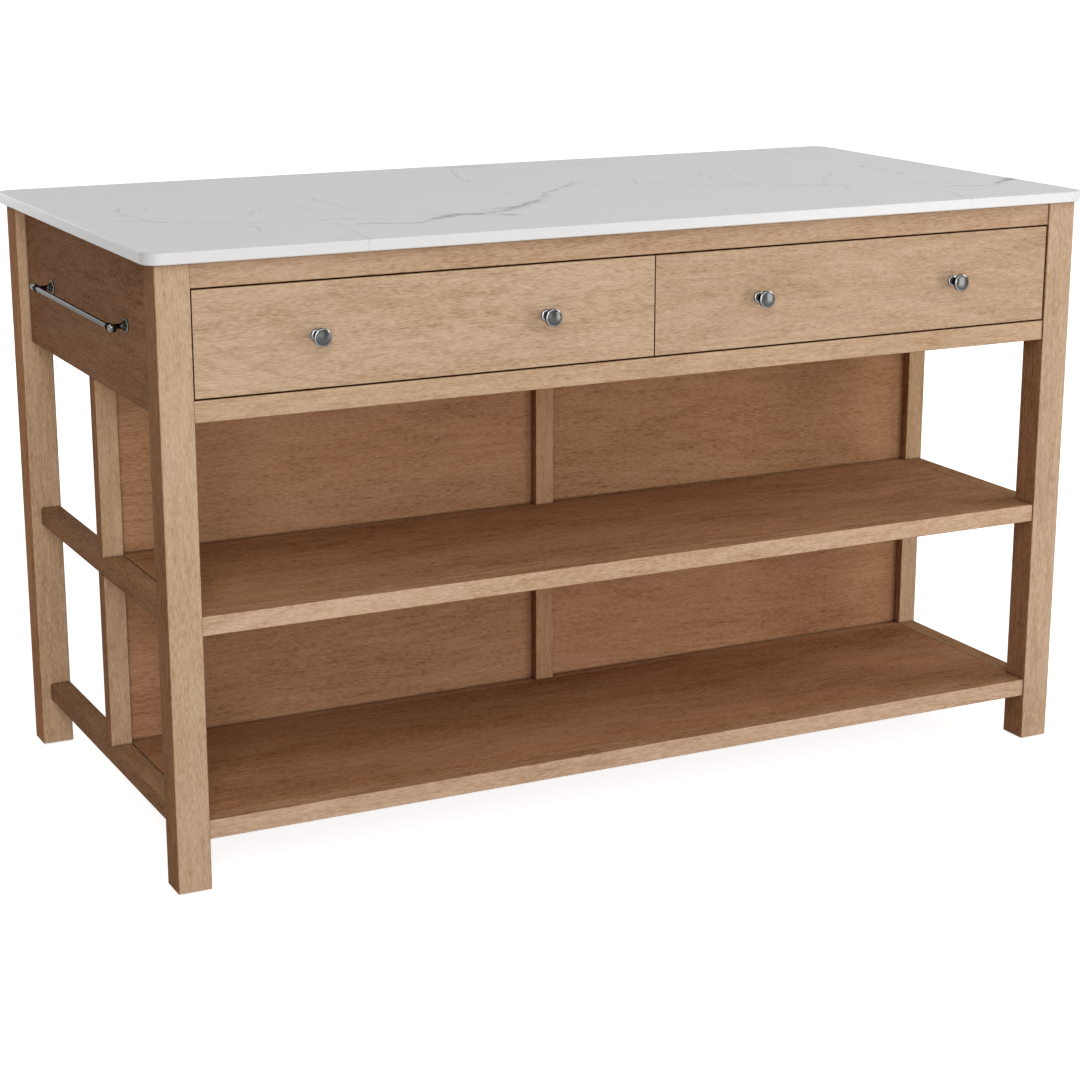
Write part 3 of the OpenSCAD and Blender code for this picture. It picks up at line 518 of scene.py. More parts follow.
for node, grain in SHOW_BOARDS.items():
    heart, flame = heart_of(node, grain), FLAME
    if node == "drawer_left_front":
        low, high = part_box(node)
        heart, flame = (OVAL_LEAN, OVAL_HIGH, OVAL_DEEP - low.y - OVAL_LEAN * OVAL_AT), OVAL_FLAME
    # the board's tint of painted light and shade
    tint = next((BOARD_LIGHT_AND_SHADE_TINTS[kind] for kind in BOARD_LIGHT_AND_SHADE_TINTS if kind in node), NO_TINT)
    figured = PANEL_FIGURE if "back_panel" in node else 1.0
    dress(node, timber(node, grain, SHOW_TIMBER, heart, flame, tint, figured))
# each of these tints is painted light and shade
print("kinds of stock that differ from the frame's:", len(BOARD_LIGHT_AND_SHADE_TINTS))

# %% [markdown]
# ## The timber nobody sees until a drawer opens
#
# Drawer boxes, battens and packers are cut from paler, plainer stock, and they are only sealed.
# They still have grain, and the drawer sides are what a hand meets first, so they get the same
# recipe with a paler scale, no painted face shade and a closer seal that shines a little more.

# %% Inner boards
INNER_TIMBER = [
    (0.00, (0.360, 0.215, 0.110)),
    (0.35, (0.560, 0.395, 0.240)),
    (0.65, (0.680, 0.515, 0.345)),
    (1.00, (0.760, 0.610, 0.450)),
]
INNER_FLAME = 0.5
INNER_BOARDS = {
    "cross_board": "x", "centre_partition": "y", "slide_packers": "y",
    "worktop_battens": "x", "shelf_cleats": "x",
}
for side in ("left", "right"):
    INNER_BOARDS["drawer_" + side + "_side_inner"] = "y"
    INNER_BOARDS["drawer_" + side + "_side_outer"] = "y"
    INNER_BOARDS["drawer_" + side + "_back"] = "x"
    INNER_BOARDS["drawer_" + side + "_bottom"] = "x"
for node, grain in INNER_BOARDS.items():
    heart = heart_of(node, grain)
    dress(node, timber(node, grain, INNER_TIMBER, heart, INNER_FLAME, roughness=SEALED, with_face_shade=False))
print("inner boards:", len(INNER_BOARDS))

# %% [markdown]
# ## White marble with grey veins
#
# The slab is 17 mm of honed white stone. Its pattern is quiet: a wide pale ground, soft mist,
# hair-thin branches, and one long vein that crosses it at a slant. A vein is an old crack, and
# a crack runs in bends. So each vein here is a route of a few straight stretches, and a point
# gets darker the nearer it lies to one of them.

# %% One straight stretch of a vein, as a node group
VEIN_FADES = (1.0, 0.1)  # parts of the half width between which the mark comes in


def make_stretch_group():
    """How dark a point is from one straight stretch of a vein, which fades over its half width."""
    group, start = new_group("vein stretch", {
        "Point": "Vector", "Start": "Vector", "Run": "Vector",
        "Length": "Float", "Half Width": "Float", "Strength": "Float",
    }, ("Mark",))
    reach = moves(group, "SUBTRACT", start["Point"], start["Start"])
    run = {0: reach, 1: start["Run"]}
    along = put(group, "VectorMath", run, operation="DOT_PRODUCT").outputs["Value"]
    along = sums(group, "MINIMUM", sums(group, "MAXIMUM", along, 0.0), start["Length"])
    foot = put(group, "VectorMath", {0: start["Run"], "Scale": along}, operation="SCALE").outputs[0]
    away = put(group, "VectorMath", {0: reach, 1: foot}, operation="DISTANCE").outputs["Value"]
    mark = between(group, sums(group, "DIVIDE", away, start["Half Width"]), *VEIN_FADES)
    give(group, {"Mark": sums(group, "MULTIPLY", mark, start["Strength"])})
    return group


STRETCH = make_stretch_group()
print("a stretch of a vein takes", len(STRETCH.nodes), "nodes")

# %% [markdown]
# ## The routes of the veins
#
# The routes are drawn, as a stone mason would pencil them on the slab. They don't ask
# how high a point is, so a vein turns over the edge of the slab and runs down the front, as a
# real one does. Such slabs are cut from one pattern that comes round again, so the routes
# repeat past a seam.

# %% Where the veins run
PATTERN_LENGTH = 1.01  # metres along the island after which the pattern comes round again
SEAM = 0.245
VEINS = [  # half width in mm, strength, and the bends in mm from the island's middle
    (8.5, 0.46, [(-410, -232), (-325, -257), (-250, -200), (-175, -207), (-95, -128), (-24, -62),
                 (-4, -18), (46, 28), (100, 82)]),
    (22.0, 0.30, [(-262, -205), (-235, -196), (-170, -206), (-105, -142), (-60, -98)]),
    (15.0, 0.55, [(-290, -232), (-245, -196), (-200, -218), (-165, -242)]),
    (10.0, 0.45, [(-180, -170), (-125, -150), (-95, -130)]),
    (7.0, 0.34, [(-438, -155), (-350, -208)]),
    (7.0, 0.32, [(-735, -35), (-664, -78), (-570, -128), (-540, -165)]),
    (2.6, 0.38, [(-570, -128), (-524, -68), (-471, 0)]),
    (3.0, 0.36, [(-554, -168), (-562, -248), (-546, -270)]),
    (2.8, 0.44, [(-669, 92), (-684, 22), (-669, -58)]),
    (2.6, 0.40, [(-624, 92), (-636, 48)]),
    (3.4, 0.42, [(-359, 88), (-366, 52), (-354, -8), (-359, -62), (-346, -102)]),
    (3.0, 0.24, [(-414, 2), (-409, -78)]),
    (3.4, 0.28, [(-84, 92), (-71, 2), (-24, -22)]),
    (2.8, 0.50, [(11, 372), (-34, 252), (-56, 162)]),
    (12.0, 0.32, [(16, 368), (76, 348)]),
    (9.0, 0.26, [(166, 362), (241, 328)]),
    (3.4, 0.30, [(100, 82), (116, -12), (176, 12), (211, 92)]),
    (5.0, 0.26, [(206, 22), (236, -38), (251, -108), (256, -188)]),
    (3.0, 0.34, [(-434, -208), (-454, -348), (-459, -392)]),
]


def one_vein(tree, point, half_width, strength, bends):
    """The darkest mark of all stretches of one vein."""
    vein = 0.0
    for start, end in zip(bends, bends[1:]):
        start, end = Vector((*start, 0.0)) / 1000, Vector((*end, 0.0)) / 1000
        stretch = put(tree, "Group", {
            "Point": point, "Start": start, "Run": (end - start).normalized(),
            "Length": (end - start).length, "Half Width": half_width / 1000, "Strength": strength,
        }, node_tree=STRETCH)
        vein = sums(tree, "MAXIMUM", vein, stretch.outputs["Mark"])
    return vein


def stone_veins(tree, point):
    """All the veins added up, at a point whose pattern comes round again."""
    axes = put(tree, "SeparateXYZ", {0: point}).outputs
    past = sums(tree, "GREATER_THAN", axes["X"], SEAM)
    folded = sums(tree, "MULTIPLY_ADD", past, -PATTERN_LENGTH, axes["X"])
    flat = put(tree, "CombineXYZ", {"X": folded, "Y": axes["Y"]}).outputs[0]
    total = 0.0
    for half_width, strength, bends in VEINS:
        total = sums(tree, "ADD", total, one_vein(tree, flat, half_width, strength, bends))
    return total


print("veins:", len(VEINS), "with", sum(len(bends) - 1 for _, _, bends in VEINS), "stretches")

# %% [markdown]
# ## Fraying the veins, blots and mist
#
# A pencil line is too clean for a crack in stone. Before a point looks for the routes it is
# pushed about by three sizes of noise, which makes them wander and fray, and a slower noise
# breaks them up. In some places small blots gather, and a thin mist greys wide parts of the
# slab.

# %% How grey the stone is at a point
STONE_PUSHES = ((9.0, 0.030), (38.0, 0.022), (150.0, 0.006))  # changes per metre, reach in metres
PUSH_DETAIL = 1.0
BREAKS = (every_way(26.0), 3.0, 0.6)  # changes per metre, detail, roughness
BREAKS_SHOW = (0.34, 0.58, 0.5, 1.5)  # from a vein half as dark to one half as dark again
BLOTS = ((24.0, 20.0, 20.0), 3.0, 0.6)
BLOTS_SHOW = (0.62, 0.72)
BLOT_PLACES = (every_way(4.0),)
BLOT_PLACES_SHOW = (0.50, 0.62)
BLOT_WEIGHT = 0.16
MIST = (every_way(3.0), 4.0, 0.6)
MIST_SHOWS = (0.45, 0.75)
MIST_WEIGHT = 0.03


def frayed(tree, here):
    """A point pushed about by three sizes of noise."""
    pushed = here
    for times, reach in STONE_PUSHES:
        noise = put(tree, "TexNoise", {"Vector": here, "Scale": times, "Detail": PUSH_DETAIL})
        push = moves(tree, "SUBTRACT", noise.outputs["Color"], every_way(0.5))
        pushed = moves(tree, "ADD", pushed, moves(tree, "MULTIPLY", push, every_way(reach)))
    return pushed


def greyness(tree, here):
    """Broken veins, blots and mist together: 0 is the bare white ground."""
    pushed = frayed(tree, here)
    broken = patches(tree, here, BREAKS, BREAKS_SHOW)
    grey = sums(tree, "MULTIPLY", stone_veins(tree, pushed), broken)
    blots = patches(tree, pushed, BLOTS, BLOTS_SHOW)
    blots = sums(tree, "MULTIPLY", blots, patches(tree, here, BLOT_PLACES, BLOT_PLACES_SHOW))
    grey = sums(tree, "MULTIPLY_ADD", blots, BLOT_WEIGHT, grey)
    return sums(tree, "MULTIPLY_ADD", patches(tree, here, MIST, MIST_SHOWS), MIST_WEIGHT, grey)


print("the veins stray by up to", round(sum(reach for _, reach in STONE_PUSHES) / 2 * 1000), "mm")

# %% [markdown]
# ## The honed surface
#
# Honing leaves stone smooth but not mirror-like, and the grey veins, which are softer, a touch
# duller. The ground is never one colour: single crystals are a little lighter or darker. The
# edges of the slab are painted a trace paler than the honed top: painted light on its sides.
# The sawn and eased edges were worked by another tool and are a trace paler than the honed
# top.

# %% The stone
STONE_TONES = [
    (0.0, (0.600, 0.607, 0.612)),
    (0.45, (0.480, 0.485, 0.488)),
    (1.0, (0.330, 0.331, 0.330)),
]
CRYSTALS = (every_way(900.0), 1.0)
CRYSTALS_SHOW = (0.3, 0.7, 0.985, 1.015)
# painted light: the slab's edges are a trace paler than its top
EDGE_PAINTED_LIGHT = (1.035, 1.04, 1.05)
EDGE_TURNS = (0.5, 0.2)  # how far a face may still look up and count as the edge
HONED, VEINS_DULLER = 0.28, 0.10
HONING = every_way(60.0)
HONING_STRENGTH, HONING_DEPTH = 0.10, 0.0003
STONE_IOR, STONE_SHEEN = 1.5, 0.3
STONE_PLAIN = (0.60, 0.60, 0.60, 1.0)


def marble_finish():
    """White ground, broken veins, blots and soft mist, honed to a low gloss."""
    finish, tree, here = new_finish("white marble")
    grey = greyness(tree, here)
    colour = put(tree, "HueSaturation", {
        "Color": tint_scale(tree, grey, STONE_TONES),
        "Value": patches(tree, here, CRYSTALS, CRYSTALS_SHOW),
    }).outputs["Color"]
    facing = put(tree, "SeparateXYZ", {0: put(tree, "NewGeometry").outputs["Normal"]}).outputs
    edge = between(tree, sums(tree, "ABSOLUTE", facing["Z"]), *EDGE_TURNS)
    show(tree, {
        # painted light on the edges of the slab
        "Base Color": blend(tree, edge, colour, moves(tree, "MULTIPLY", colour, EDGE_PAINTED_LIGHT)),
        "Roughness": sums(tree, "MULTIPLY_ADD", grey, VEINS_DULLER, HONED),
        "Normal": bumps(tree, cloud(tree, here, HONING), HONING_STRENGTH, HONING_DEPTH),
        "IOR": STONE_IOR,
        "Specular IOR Level": STONE_SHEEN,
    })
    finish.diffuse_color = STONE_PLAIN
    return finish


dress("countertop", marble_finish())

# %% [markdown]
# ## Metal finishes
#
# Two metals and a plastic are left. The knobs and the towel bar are dark nickel, and wear and
# making give it four looks: polished and nearly black in the necks and hollows, rubbed bright
# on the edges, satin on the turned faces, and drawn along the rod. The slides and the screws
# are zinc plated, which leaves a bright metal with faint crystal patches. Metals are told
# apart by what they mirror and how sharply, so the interest is in the roughness, with fine
# lines where a lathe or a polishing wheel ran.

# %% Dark nickel and zinc plate
WORN_DARKER = 0.86
WORN_RANGE = (0.3, 0.7)
WORN_DARK, WORN_FULL = 0.25, 0.7
WHEEL_STRENGTH, WHEEL_DEPTH = 0.15, 0.00005
WEAR, PLATED_WEAR = 160.0, 90.0  # patches of wear per metre
WEAR_DETAIL = (3.0, 0.6)
POLISHED, TURNED = every_way(900.0), (2600.0, 900.0, 300.0)
DRAWN, PLATED = (2600.0, 60.0, 2600.0), (1500.0, 60.0, 1500.0)


def metal(name, colour, roughness, spread, lines=POLISHED, wear=WEAR, edge=1.0):
    """A metal whose polish varies by this spread, in patches, with fine wheel lines.

    At a glancing angle it mirrors as if it were this bright: edge 1 is white.
    """
    finish, tree, here = new_finish(name)
    worn = cloud(tree, here, every_way(wear), *WEAR_DETAIL)
    scratches = cloud(tree, here, lines)
    patchy = between(tree, worn, *WORN_RANGE, roughness - spread, roughness + spread)
    dark = tuple(channel * WORN_DARKER for channel in colour)
    show(tree, {
        "Base Color": tint_scale(tree, worn, [(WORN_DARK, dark), (WORN_FULL, colour)]),
        "Roughness": sums(
            tree, "ADD", patchy, sums(tree, "MULTIPLY_ADD", scratches, spread, -spread / 2)),
        "Normal": bumps(tree, scratches, WHEEL_STRENGTH, WHEEL_DEPTH),
        "Metallic": 1.0,
        "Specular Tint": (edge, edge, edge, 1.0),
    })
    finish.diffuse_color = (*colour, 1.0)
    return finish


NICKEL = metal("polished dark nickel", (0.030, 0.029, 0.028), 0.12, 0.04, edge=0.2)
BRIGHT = metal("bright worn nickel", (0.24, 0.24, 0.24), 0.09, 0.03, edge=0.5)
SATIN = metal("satin dark nickel", (0.064, 0.064, 0.063), 0.16, 0.04, TURNED, edge=0.3)
ROD = metal("drawn dark nickel", (0.120, 0.118, 0.115), 0.16, 0.04, DRAWN, edge=0.5)
ZINC = metal("zinc plate", (0.70, 0.71, 0.73), 0.30, 0.08, PLATED, PLATED_WEAR)
plated = [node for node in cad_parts
          if node.endswith("screws") or ("slide_" in node and "packers" not in node)]
for node in plated:
    dress(node, ZINC)
print("zinc plated:", len(plated), "pieces")

# %% [markdown]
# ## Feet of moulded nylon
#
# Under each leg a small nylon glide is driven into the end grain, so that the island can be
# pushed without splitting the timber. The mould leaves a fine, even grit on its skin, and that
# is all there is to see on a black plastic: it breaks up the shine.

# %% Nylon
GRIT = (every_way(1400.0), 2.0)
NYLON_TONES = [(0.3, (0.012, 0.012, 0.012)), (0.7, (0.022, 0.022, 0.022))]
NYLON_ROUGHNESS = (0.3, 0.7, 0.50, 0.62)
GRIT_STRENGTH, GRIT_DEPTH = 0.3, 0.0001


def nylon():
    """Black plastic with the fine grit of its mould."""
    finish, tree, here = new_finish("black nylon")
    grit = cloud(tree, here, *GRIT)
    show(tree, {
        "Base Color": tint_scale(tree, grit, NYLON_TONES),
        "Roughness": between(tree, grit, *NYLON_ROUGHNESS),
        "Normal": bumps(tree, grit, GRIT_STRENGTH, GRIT_DEPTH),
    })
    return finish


dress("leg_glides", nylon())
print("grit per metre on the glides:", GRIT[0][0])

# %% [markdown]
# ## A lathe
#
# The knobs and the towel bar were turned on a lathe, and a lathe gives the shape away: one
# outline is drawn and swept round the axis. The outline is built of arcs, so its curves stay
# smooth, and short straight steps keep the crisp edges that catch light. A chamfer is flat and
# not rounded, because a flat one mirrors a whole lamp at once and shows as a bright crescent.

# %% Arcs and chamfers of an outline, in millimetres
CRISP_IN, CRISP_UP, CRISP_OUT, CRISP_DOWN = 0.15, 0.2, 0.2, 0.05


def arc(centre, radius, start, end, steps=8):
    """Points (distance from the axis, height) on an arc, angles in degrees."""
    turns = [math.radians(start + (end - start) * i / steps) for i in range(steps + 1)]
    return [(centre[0] + radius * math.cos(a), centre[1] + radius * math.sin(a)) for a in turns]


def chamfer(start, end):
    """A flat chamfer that climbs inwards, with the tiny steps that keep both its edges crisp."""
    return [start, (start[0] - CRISP_IN, start[1] + CRISP_UP),
            (end[0] + CRISP_OUT, end[1] - CRISP_DOWN), end]


print("a chamfer has", len(chamfer((1.0, 0.0), (0.0, 1.0))), "points")

# %% [markdown]
# ## Sweeping an outline round
#
# Each point of the outline becomes a ring of vertices, and neighbouring rings are joined by
# faces. A point on the axis is a single vertex, so the ends close with triangles. Each band
# gets its own finish by where it lies, as only some parts of a knob are rubbed bright.

# %% The lathe
LATHE_STEPS = 96
ON_AXIS = 0.001
SHARP_FROM = 35  # degrees


def ring_of(work, r, h):
    """The vertices of one point of the outline, all the way round or alone on the axis."""
    if r < ON_AXIS:
        return [work.verts.new((0.0, 0.0, h / 1000))]
    angles = [2 * math.pi * k / LATHE_STEPS for k in range(LATHE_STEPS)]
    return [work.verts.new((r * math.cos(a) / 1000, r * math.sin(a) / 1000, h / 1000)) for a in angles]


def turned(name, outline, foot, direction, finishes, finish_at=lambda r, h: 0):
    """Sweep an outline (millimetres) round an axis that starts at foot (metres)."""
    turn = Vector(direction).to_track_quat("Z", "Y").to_matrix().to_4x4()
    work = bmesh.new()
    rings = [ring_of(work, r, h) for r, h in outline]
    for (low, high), (a, b) in zip(zip(rings, rings[1:]), zip(outline, outline[1:])):
        slot_number = finish_at((a[0] + b[0]) / 2, (a[1] + b[1]) / 2)
        for k in range(LATHE_STEPS):
            corners = [low[k % len(low)], low[(k + 1) % len(low)],
                       high[(k + 1) % len(high)], high[k % len(high)]]
            face = work.faces.new(list(dict.fromkeys(corners)))
            face.smooth = True
            face.material_index = slot_number
    bmesh.ops.transform(work, matrix=Matrix.Translation(foot) @ turn, verts=work.verts)
    bmesh.ops.recalc_face_normals(work, faces=work.faces)
    mesh = bpy.data.meshes.new(name)
    work.to_mesh(mesh)
    work.free()
    for finish in finishes:
        mesh.materials.append(finish)
    mesh.set_sharp_from_angle(angle=math.radians(SHARP_FROM))
    piece = bpy.data.objects.new(name, mesh)
    bpy.context.scene.collection.objects.link(piece)
    return piece


print("the lathe takes", LATHE_STEPS, "steps for one turn")

# %% [markdown]
# ## The outline of a knob
#
# Each knob has a round base against the drawer, a cove into a thin neck, a flare, and a disc
# with a dark side, a rubbed chamfer, a fine groove and a satin, slightly domed face. How far
# it stands out comes from the CAD piece that it dresses. The other sizes are a turner's, in
# millimetres from the drawer outwards.

# %% The knob's outline
knob_low, knob_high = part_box("drawer_left_knobs")
KNOB_OUT = round((knob_high.y - knob_low.y) * 1000, 1)
KNOB_RIM = 13.0
KNOB_NECK = 4.0
KNOB_BASE = 8.5
SOFT_EDGE = 0.3
BASE_SIDE = 1.6
BASE_CHAMFER = 2.4
BASE_TOP = 2.95
COVE_R, COVE_HIGH, COVE_TURN = 2.4, 5.4, (265, 180)
FLARE_R, FLARE_BACK, FLARE_TURN = 5.0, 5.5, (180, 95, 10)
KNOB_DOME = 0.9
KNOB_DISC = 5.4
DISC_ROUND = 1.0
RIM_CHAMFER_DEEP = 1.35
KNOB_SHOULDER = 2.0
GROOVE_DEEP, GROOVE_WALL, GROOVE_FLOOR, GROOVE_LIP = 0.5, 0.1, 0.5, 0.2
DOME_DROP = 0.1
DOME_STEPS = 12
KNOB_FACE = KNOB_OUT - KNOB_DOME
GROOVE_R = KNOB_RIM - KNOB_SHOULDER


def knob_outline():
    """From the drawer outwards: base, cove, neck, flare, rim, groove and domed face."""
    line = [(0.0, 0.0), (KNOB_BASE - SOFT_EDGE, 0.0), (KNOB_BASE, SOFT_EDGE)]
    line += chamfer((KNOB_BASE, BASE_SIDE), (KNOB_BASE - BASE_CHAMFER, BASE_TOP))
    line += arc((KNOB_NECK + COVE_R, COVE_HIGH), COVE_R, *COVE_TURN)
    disc = KNOB_FACE - KNOB_DISC
    line += [(KNOB_NECK, disc - FLARE_BACK)]
    line += arc((KNOB_NECK + FLARE_R, disc - FLARE_BACK), FLARE_R, *FLARE_TURN)[1:]
    line += [(KNOB_RIM - DISC_ROUND, disc), (KNOB_RIM - SOFT_EDGE, disc + SOFT_EDGE)]
    line += [(KNOB_RIM, disc + DISC_ROUND)]
    line += chamfer((KNOB_RIM, KNOB_FACE - RIM_CHAMFER_DEEP), (GROOVE_R, KNOB_FACE))
    wall = GROOVE_R - GROOVE_WALL
    lip = wall - GROOVE_FLOOR - GROOVE_LIP
    line += [(wall, KNOB_FACE - GROOVE_DEEP), (wall - GROOVE_FLOOR, KNOB_FACE - GROOVE_DEEP)]
    line += [(lip, KNOB_FACE - DOME_DROP)]
    for step in range(DOME_STEPS + 1):
        part = 1 - step / DOME_STEPS
        line.append(((lip - GROOVE_LIP) * part, KNOB_FACE + KNOB_DOME * (1 - part ** 2)))
    return line


print("a knob's outline has", len(knob_outline()), "points and stands out", KNOB_OUT, "mm")

# %% [markdown]
# ## Four knobs
#
# Hands and cloths rub the edges of a knob bright and leave its hollows dark. So the two
# chamfers get the bright finish, the face inside the groove the satin one, and the rest stays
# polished and dark. The knobs ride on their drawers and stand for the CAD knobs.

# %% Turning the knobs
ALL_DARK, SATIN_FACE, RUBBED = 0, 1, 2  # places in the knobs' list of finishes
SATIN_INSIDE = 0.7  # mm from the groove's outer edge
FACE_BAND, CHAMFER_BAND = 0.3, 1.25  # mm below the face's edge


def knob_finish(r, h):
    """The satin face lies inside the groove, and the chamfers of disc and base are rubbed bright."""
    if h > KNOB_FACE - FACE_BAND and r < GROOVE_R - SATIN_INSIDE:
        return SATIN_FACE
    disc_chamfer = h > KNOB_FACE - CHAMFER_BAND and r > GROOVE_R
    base_chamfer = BASE_SIDE < h < BASE_TOP - CRISP_DOWN and r > KNOB_BASE - BASE_CHAMFER + CRISP_OUT / 2
    return RUBBED if disc_chamfer or base_chamfer else ALL_DARK


for side in ("left", "right"):
    cad_knobs = "drawer_" + side + "_knobs"
    low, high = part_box(cad_knobs)
    for number, x in enumerate((low.x + KNOB_RIM / 1000, high.x - KNOB_RIM / 1000), 1):
        foot = Vector((x, high.y, (low.z + high.z) / 2))
        knob = turned(
            f"drawer_{side}_knob_{number}", knob_outline(), foot, (0, -1, 0),
            (NICKEL, SATIN, BRIGHT), knob_finish)
        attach(knob, "drawer_" + side)
        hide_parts(cad_knobs)
        print(knob.name, "stands out", round((foot.y - low.y) * 1000, 1), "mm")

# %% [markdown]
# ## The rod of the towel bar
#
# The bar is a plain rod with a bead and a short cap at each end. A cap has a satin, slightly
# domed end inside a fine groove. The outline is drawn for one end only and mirrored for the
# other, as the rod would be turned round in the lathe. Its length comes from the CAD piece.

# %% The rod, its beads and its caps
bar_low, bar_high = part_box("towel_bar")
bar_axis = Vector(((bar_low.x + bar_high.x) / 2, bar_low.y, (bar_low.z + bar_high.z) / 2))
BAR_L = round((bar_high.y - bar_low.y) * 1000, 1)
BAR_R = 4.0
CAP_R = 4.75
CAP_FACE, CAP_DOME, CAP_STEPS = 2.8, 0.4, 6
CAP_GROOVE = ((0.1, 0.9), (0.35, 0.9), (0.45, 0.45))  # past the face's edge, from the end
CAP_SIDE = (1.2, 7.3)
CAP_EDGE = 7.8
CAP_NECK_R, CAP_NECK = 3.3, (8.2, 9.2)
BEAD_R, BEAD_ROUND, BEAD_TURN = 5.5, 1.5, (-75, 75, 10)
BEAD_AT, BEAD_END = 11.5, 13.2
ROD_DRAWN, BAR_RUBBED, CAP_SATIN = 0, 1, 2  # places in the bar's list of finishes
SATIN_DEEP, RUBBED_FROM = 0.6, 0.2  # mm from the rod's end, and proud of the rod


def bar_outline():
    """The whole rod with a capped end and a bead at both ends, from one end to the other."""
    end = [(CAP_FACE * i / CAP_STEPS, CAP_DOME * (i / CAP_STEPS) ** 2) for i in range(CAP_STEPS + 1)]
    end += [(CAP_FACE + past, deep) for past, deep in CAP_GROOVE]
    end += [(CAP_R, h) for h in CAP_SIDE] + [(CAP_R - SOFT_EDGE, CAP_EDGE)]
    end += [(CAP_NECK_R, h) for h in CAP_NECK]
    end += arc((BEAD_R - BEAD_ROUND, BEAD_AT), BEAD_ROUND, *BEAD_TURN) + [(BAR_R, BEAD_END)]
    return end + [(r, BAR_L - h) for r, h in reversed(end)]


def bar_finish(r, h):
    """The caps and beads are rubbed bright, their end faces are satin, and the rod is drawn."""
    if min(h, BAR_L - h) < SATIN_DEEP and r < CAP_FACE:
        return CAP_SATIN
    return BAR_RUBBED if r > BAR_R + RUBBED_FROM else ROD_DRAWN


towel_bar = turned("towel_bar_rod", bar_outline(), bar_axis, (0, 1, 0), (ROD, BRIGHT, SATIN), bar_finish)
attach(towel_bar, "island")
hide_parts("towel_bar")
print("the rod is", round((bar_high.y - bar_low.y) * 1000), "mm long")

# %% [markdown]
# ## The posts of the towel bar
#
# Two posts hold the rod. Each swells into a trumpet where it meets the side of the island, and
# ends in a small eye for the rod. Both are lathe work too: the post is turned on an axis that
# points away from the panel, and the eye is a short sleeve on the axis of the rod.

# %% The posts and their eyes
panel_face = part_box("towel_bar_posts")[1].x
BAR_PITCH = 376.0
BAR_OUT = round((panel_face - bar_axis.x) * 1000, 1)
ROSETTE_R, ROSETTE_SIDE = 10.0, 1.2
ROSETTE_ROUND, ROSETTE_ROUND_AT, ROSETTE_TURN = 0.7, 1.3, (0, 80, 5)
ROSETTE_STEP, ROSETTE_TOP = 1.4, 2.1
TRUMPET_IN, TRUMPET_FROM, TRUMPET_L = 2.2, 2.2, 12.0
TRUMPET_CURVE, TRUMPET_STEPS = 2.6, 12
POST_NECK = 3.5
EYE_R, EYE_L, EYE_PLAY = 5.6, 9.0, 0.05
EYE_EDGE = ((0.7, 0.0), (0.2, 0.25), (0.0, 0.8))  # in from the eye's side, in from its end
POST_ENDS = 0.8  # where the post ends in the eye, as a part of the eye's radius
POST_DARK, POST_RUBBED = 0, 1  # places in the posts' list of finishes
RUBBED_RIM, RUBBED_HEIGHTS = 1.3, (1.0, 2.2)


def post_outline():
    """Rosette, trumpet and neck, from the side panel outwards."""
    line = [(0.0, 0.0), (ROSETTE_R - SOFT_EDGE, 0.0), (ROSETTE_R, SOFT_EDGE), (ROSETTE_R, ROSETTE_SIDE)]
    line += arc((ROSETTE_R - ROSETTE_ROUND, ROSETTE_ROUND_AT), ROSETTE_ROUND, *ROSETTE_TURN)
    line += [(ROSETTE_R - ROSETTE_STEP, ROSETTE_TOP)]
    swell = ROSETTE_R - TRUMPET_IN - POST_NECK
    for step in range(TRUMPET_STEPS + 1):
        part = step / TRUMPET_STEPS
        line.append((POST_NECK + swell * (1 - part) ** TRUMPET_CURVE, TRUMPET_FROM + TRUMPET_L * part))
    top = BAR_OUT - EYE_R * POST_ENDS
    return line + [(POST_NECK, top), (0.0, top)]


def post_finish(r, h):
    """The edge of the rosette is rubbed bright."""
    low, high = RUBBED_HEIGHTS
    return POST_RUBBED if r > ROSETTE_R - RUBBED_RIM and low < h < high else POST_DARK


def eye_outline():
    """The eye round the rod, a short sleeve with softened rims."""
    bore = BAR_R + EYE_PLAY
    side = [(EYE_R - inward, h) for inward, h in EYE_EDGE]
    return [(bore, 0.0)] + side + [(r, EYE_L - h) for r, h in reversed(side)] + [(bore, EYE_L), (bore, 0.0)]


middle = (bar_low.y + bar_high.y) / 2
for name, y in (("front", middle - BAR_PITCH / 2 / 1000), ("back", middle + BAR_PITCH / 2 / 1000)):
    post = turned(
        "towel_bar_post_" + name, post_outline(), (panel_face, y, bar_axis.z), (-1, 0, 0),
        (NICKEL, BRIGHT), post_finish)
    eye_foot = (bar_axis.x, y - EYE_L / 2 / 1000, bar_axis.z)
    eye = turned("towel_bar_eye_" + name, eye_outline(), eye_foot, (0, 1, 0), (NICKEL,))
    for piece in (post, eye):
        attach(piece, "island")
        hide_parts("towel_bar_posts")
print("the rod stands", BAR_OUT, "mm off the panel, on posts", BAR_PITCH, "mm apart")

# %% [markdown]
# ## A pale floor
#
# The island is shown in a white studio. The floor is a wide matt sheet. It really catches the
# island's shadow, and only for the camera and for mirrors it also glows a little, so that it
# reads as white without throwing more light on the timber. What it throws back on the timber
# is warm, like light from a pale floor of boards.

# %% Floor
FLOOR_REACH = 60.0
FLOOR_SQUARES = 8
PAPER = every_way(6.0)
FLOOR_TONES = [(0.3, (0.79, 0.79, 0.79)), (0.7, (0.81, 0.81, 0.81))]
FLOOR_THROWS_BACK = [(0.3, (0.57, 0.49, 0.41)), (0.7, (0.59, 0.51, 0.43))]
GLOW = (1.0, 3.5, 0.80, 1.0)  # from this distance to that one, from this strength to that one
WHITE = (1.0, 1.0, 1.0, 1.0)


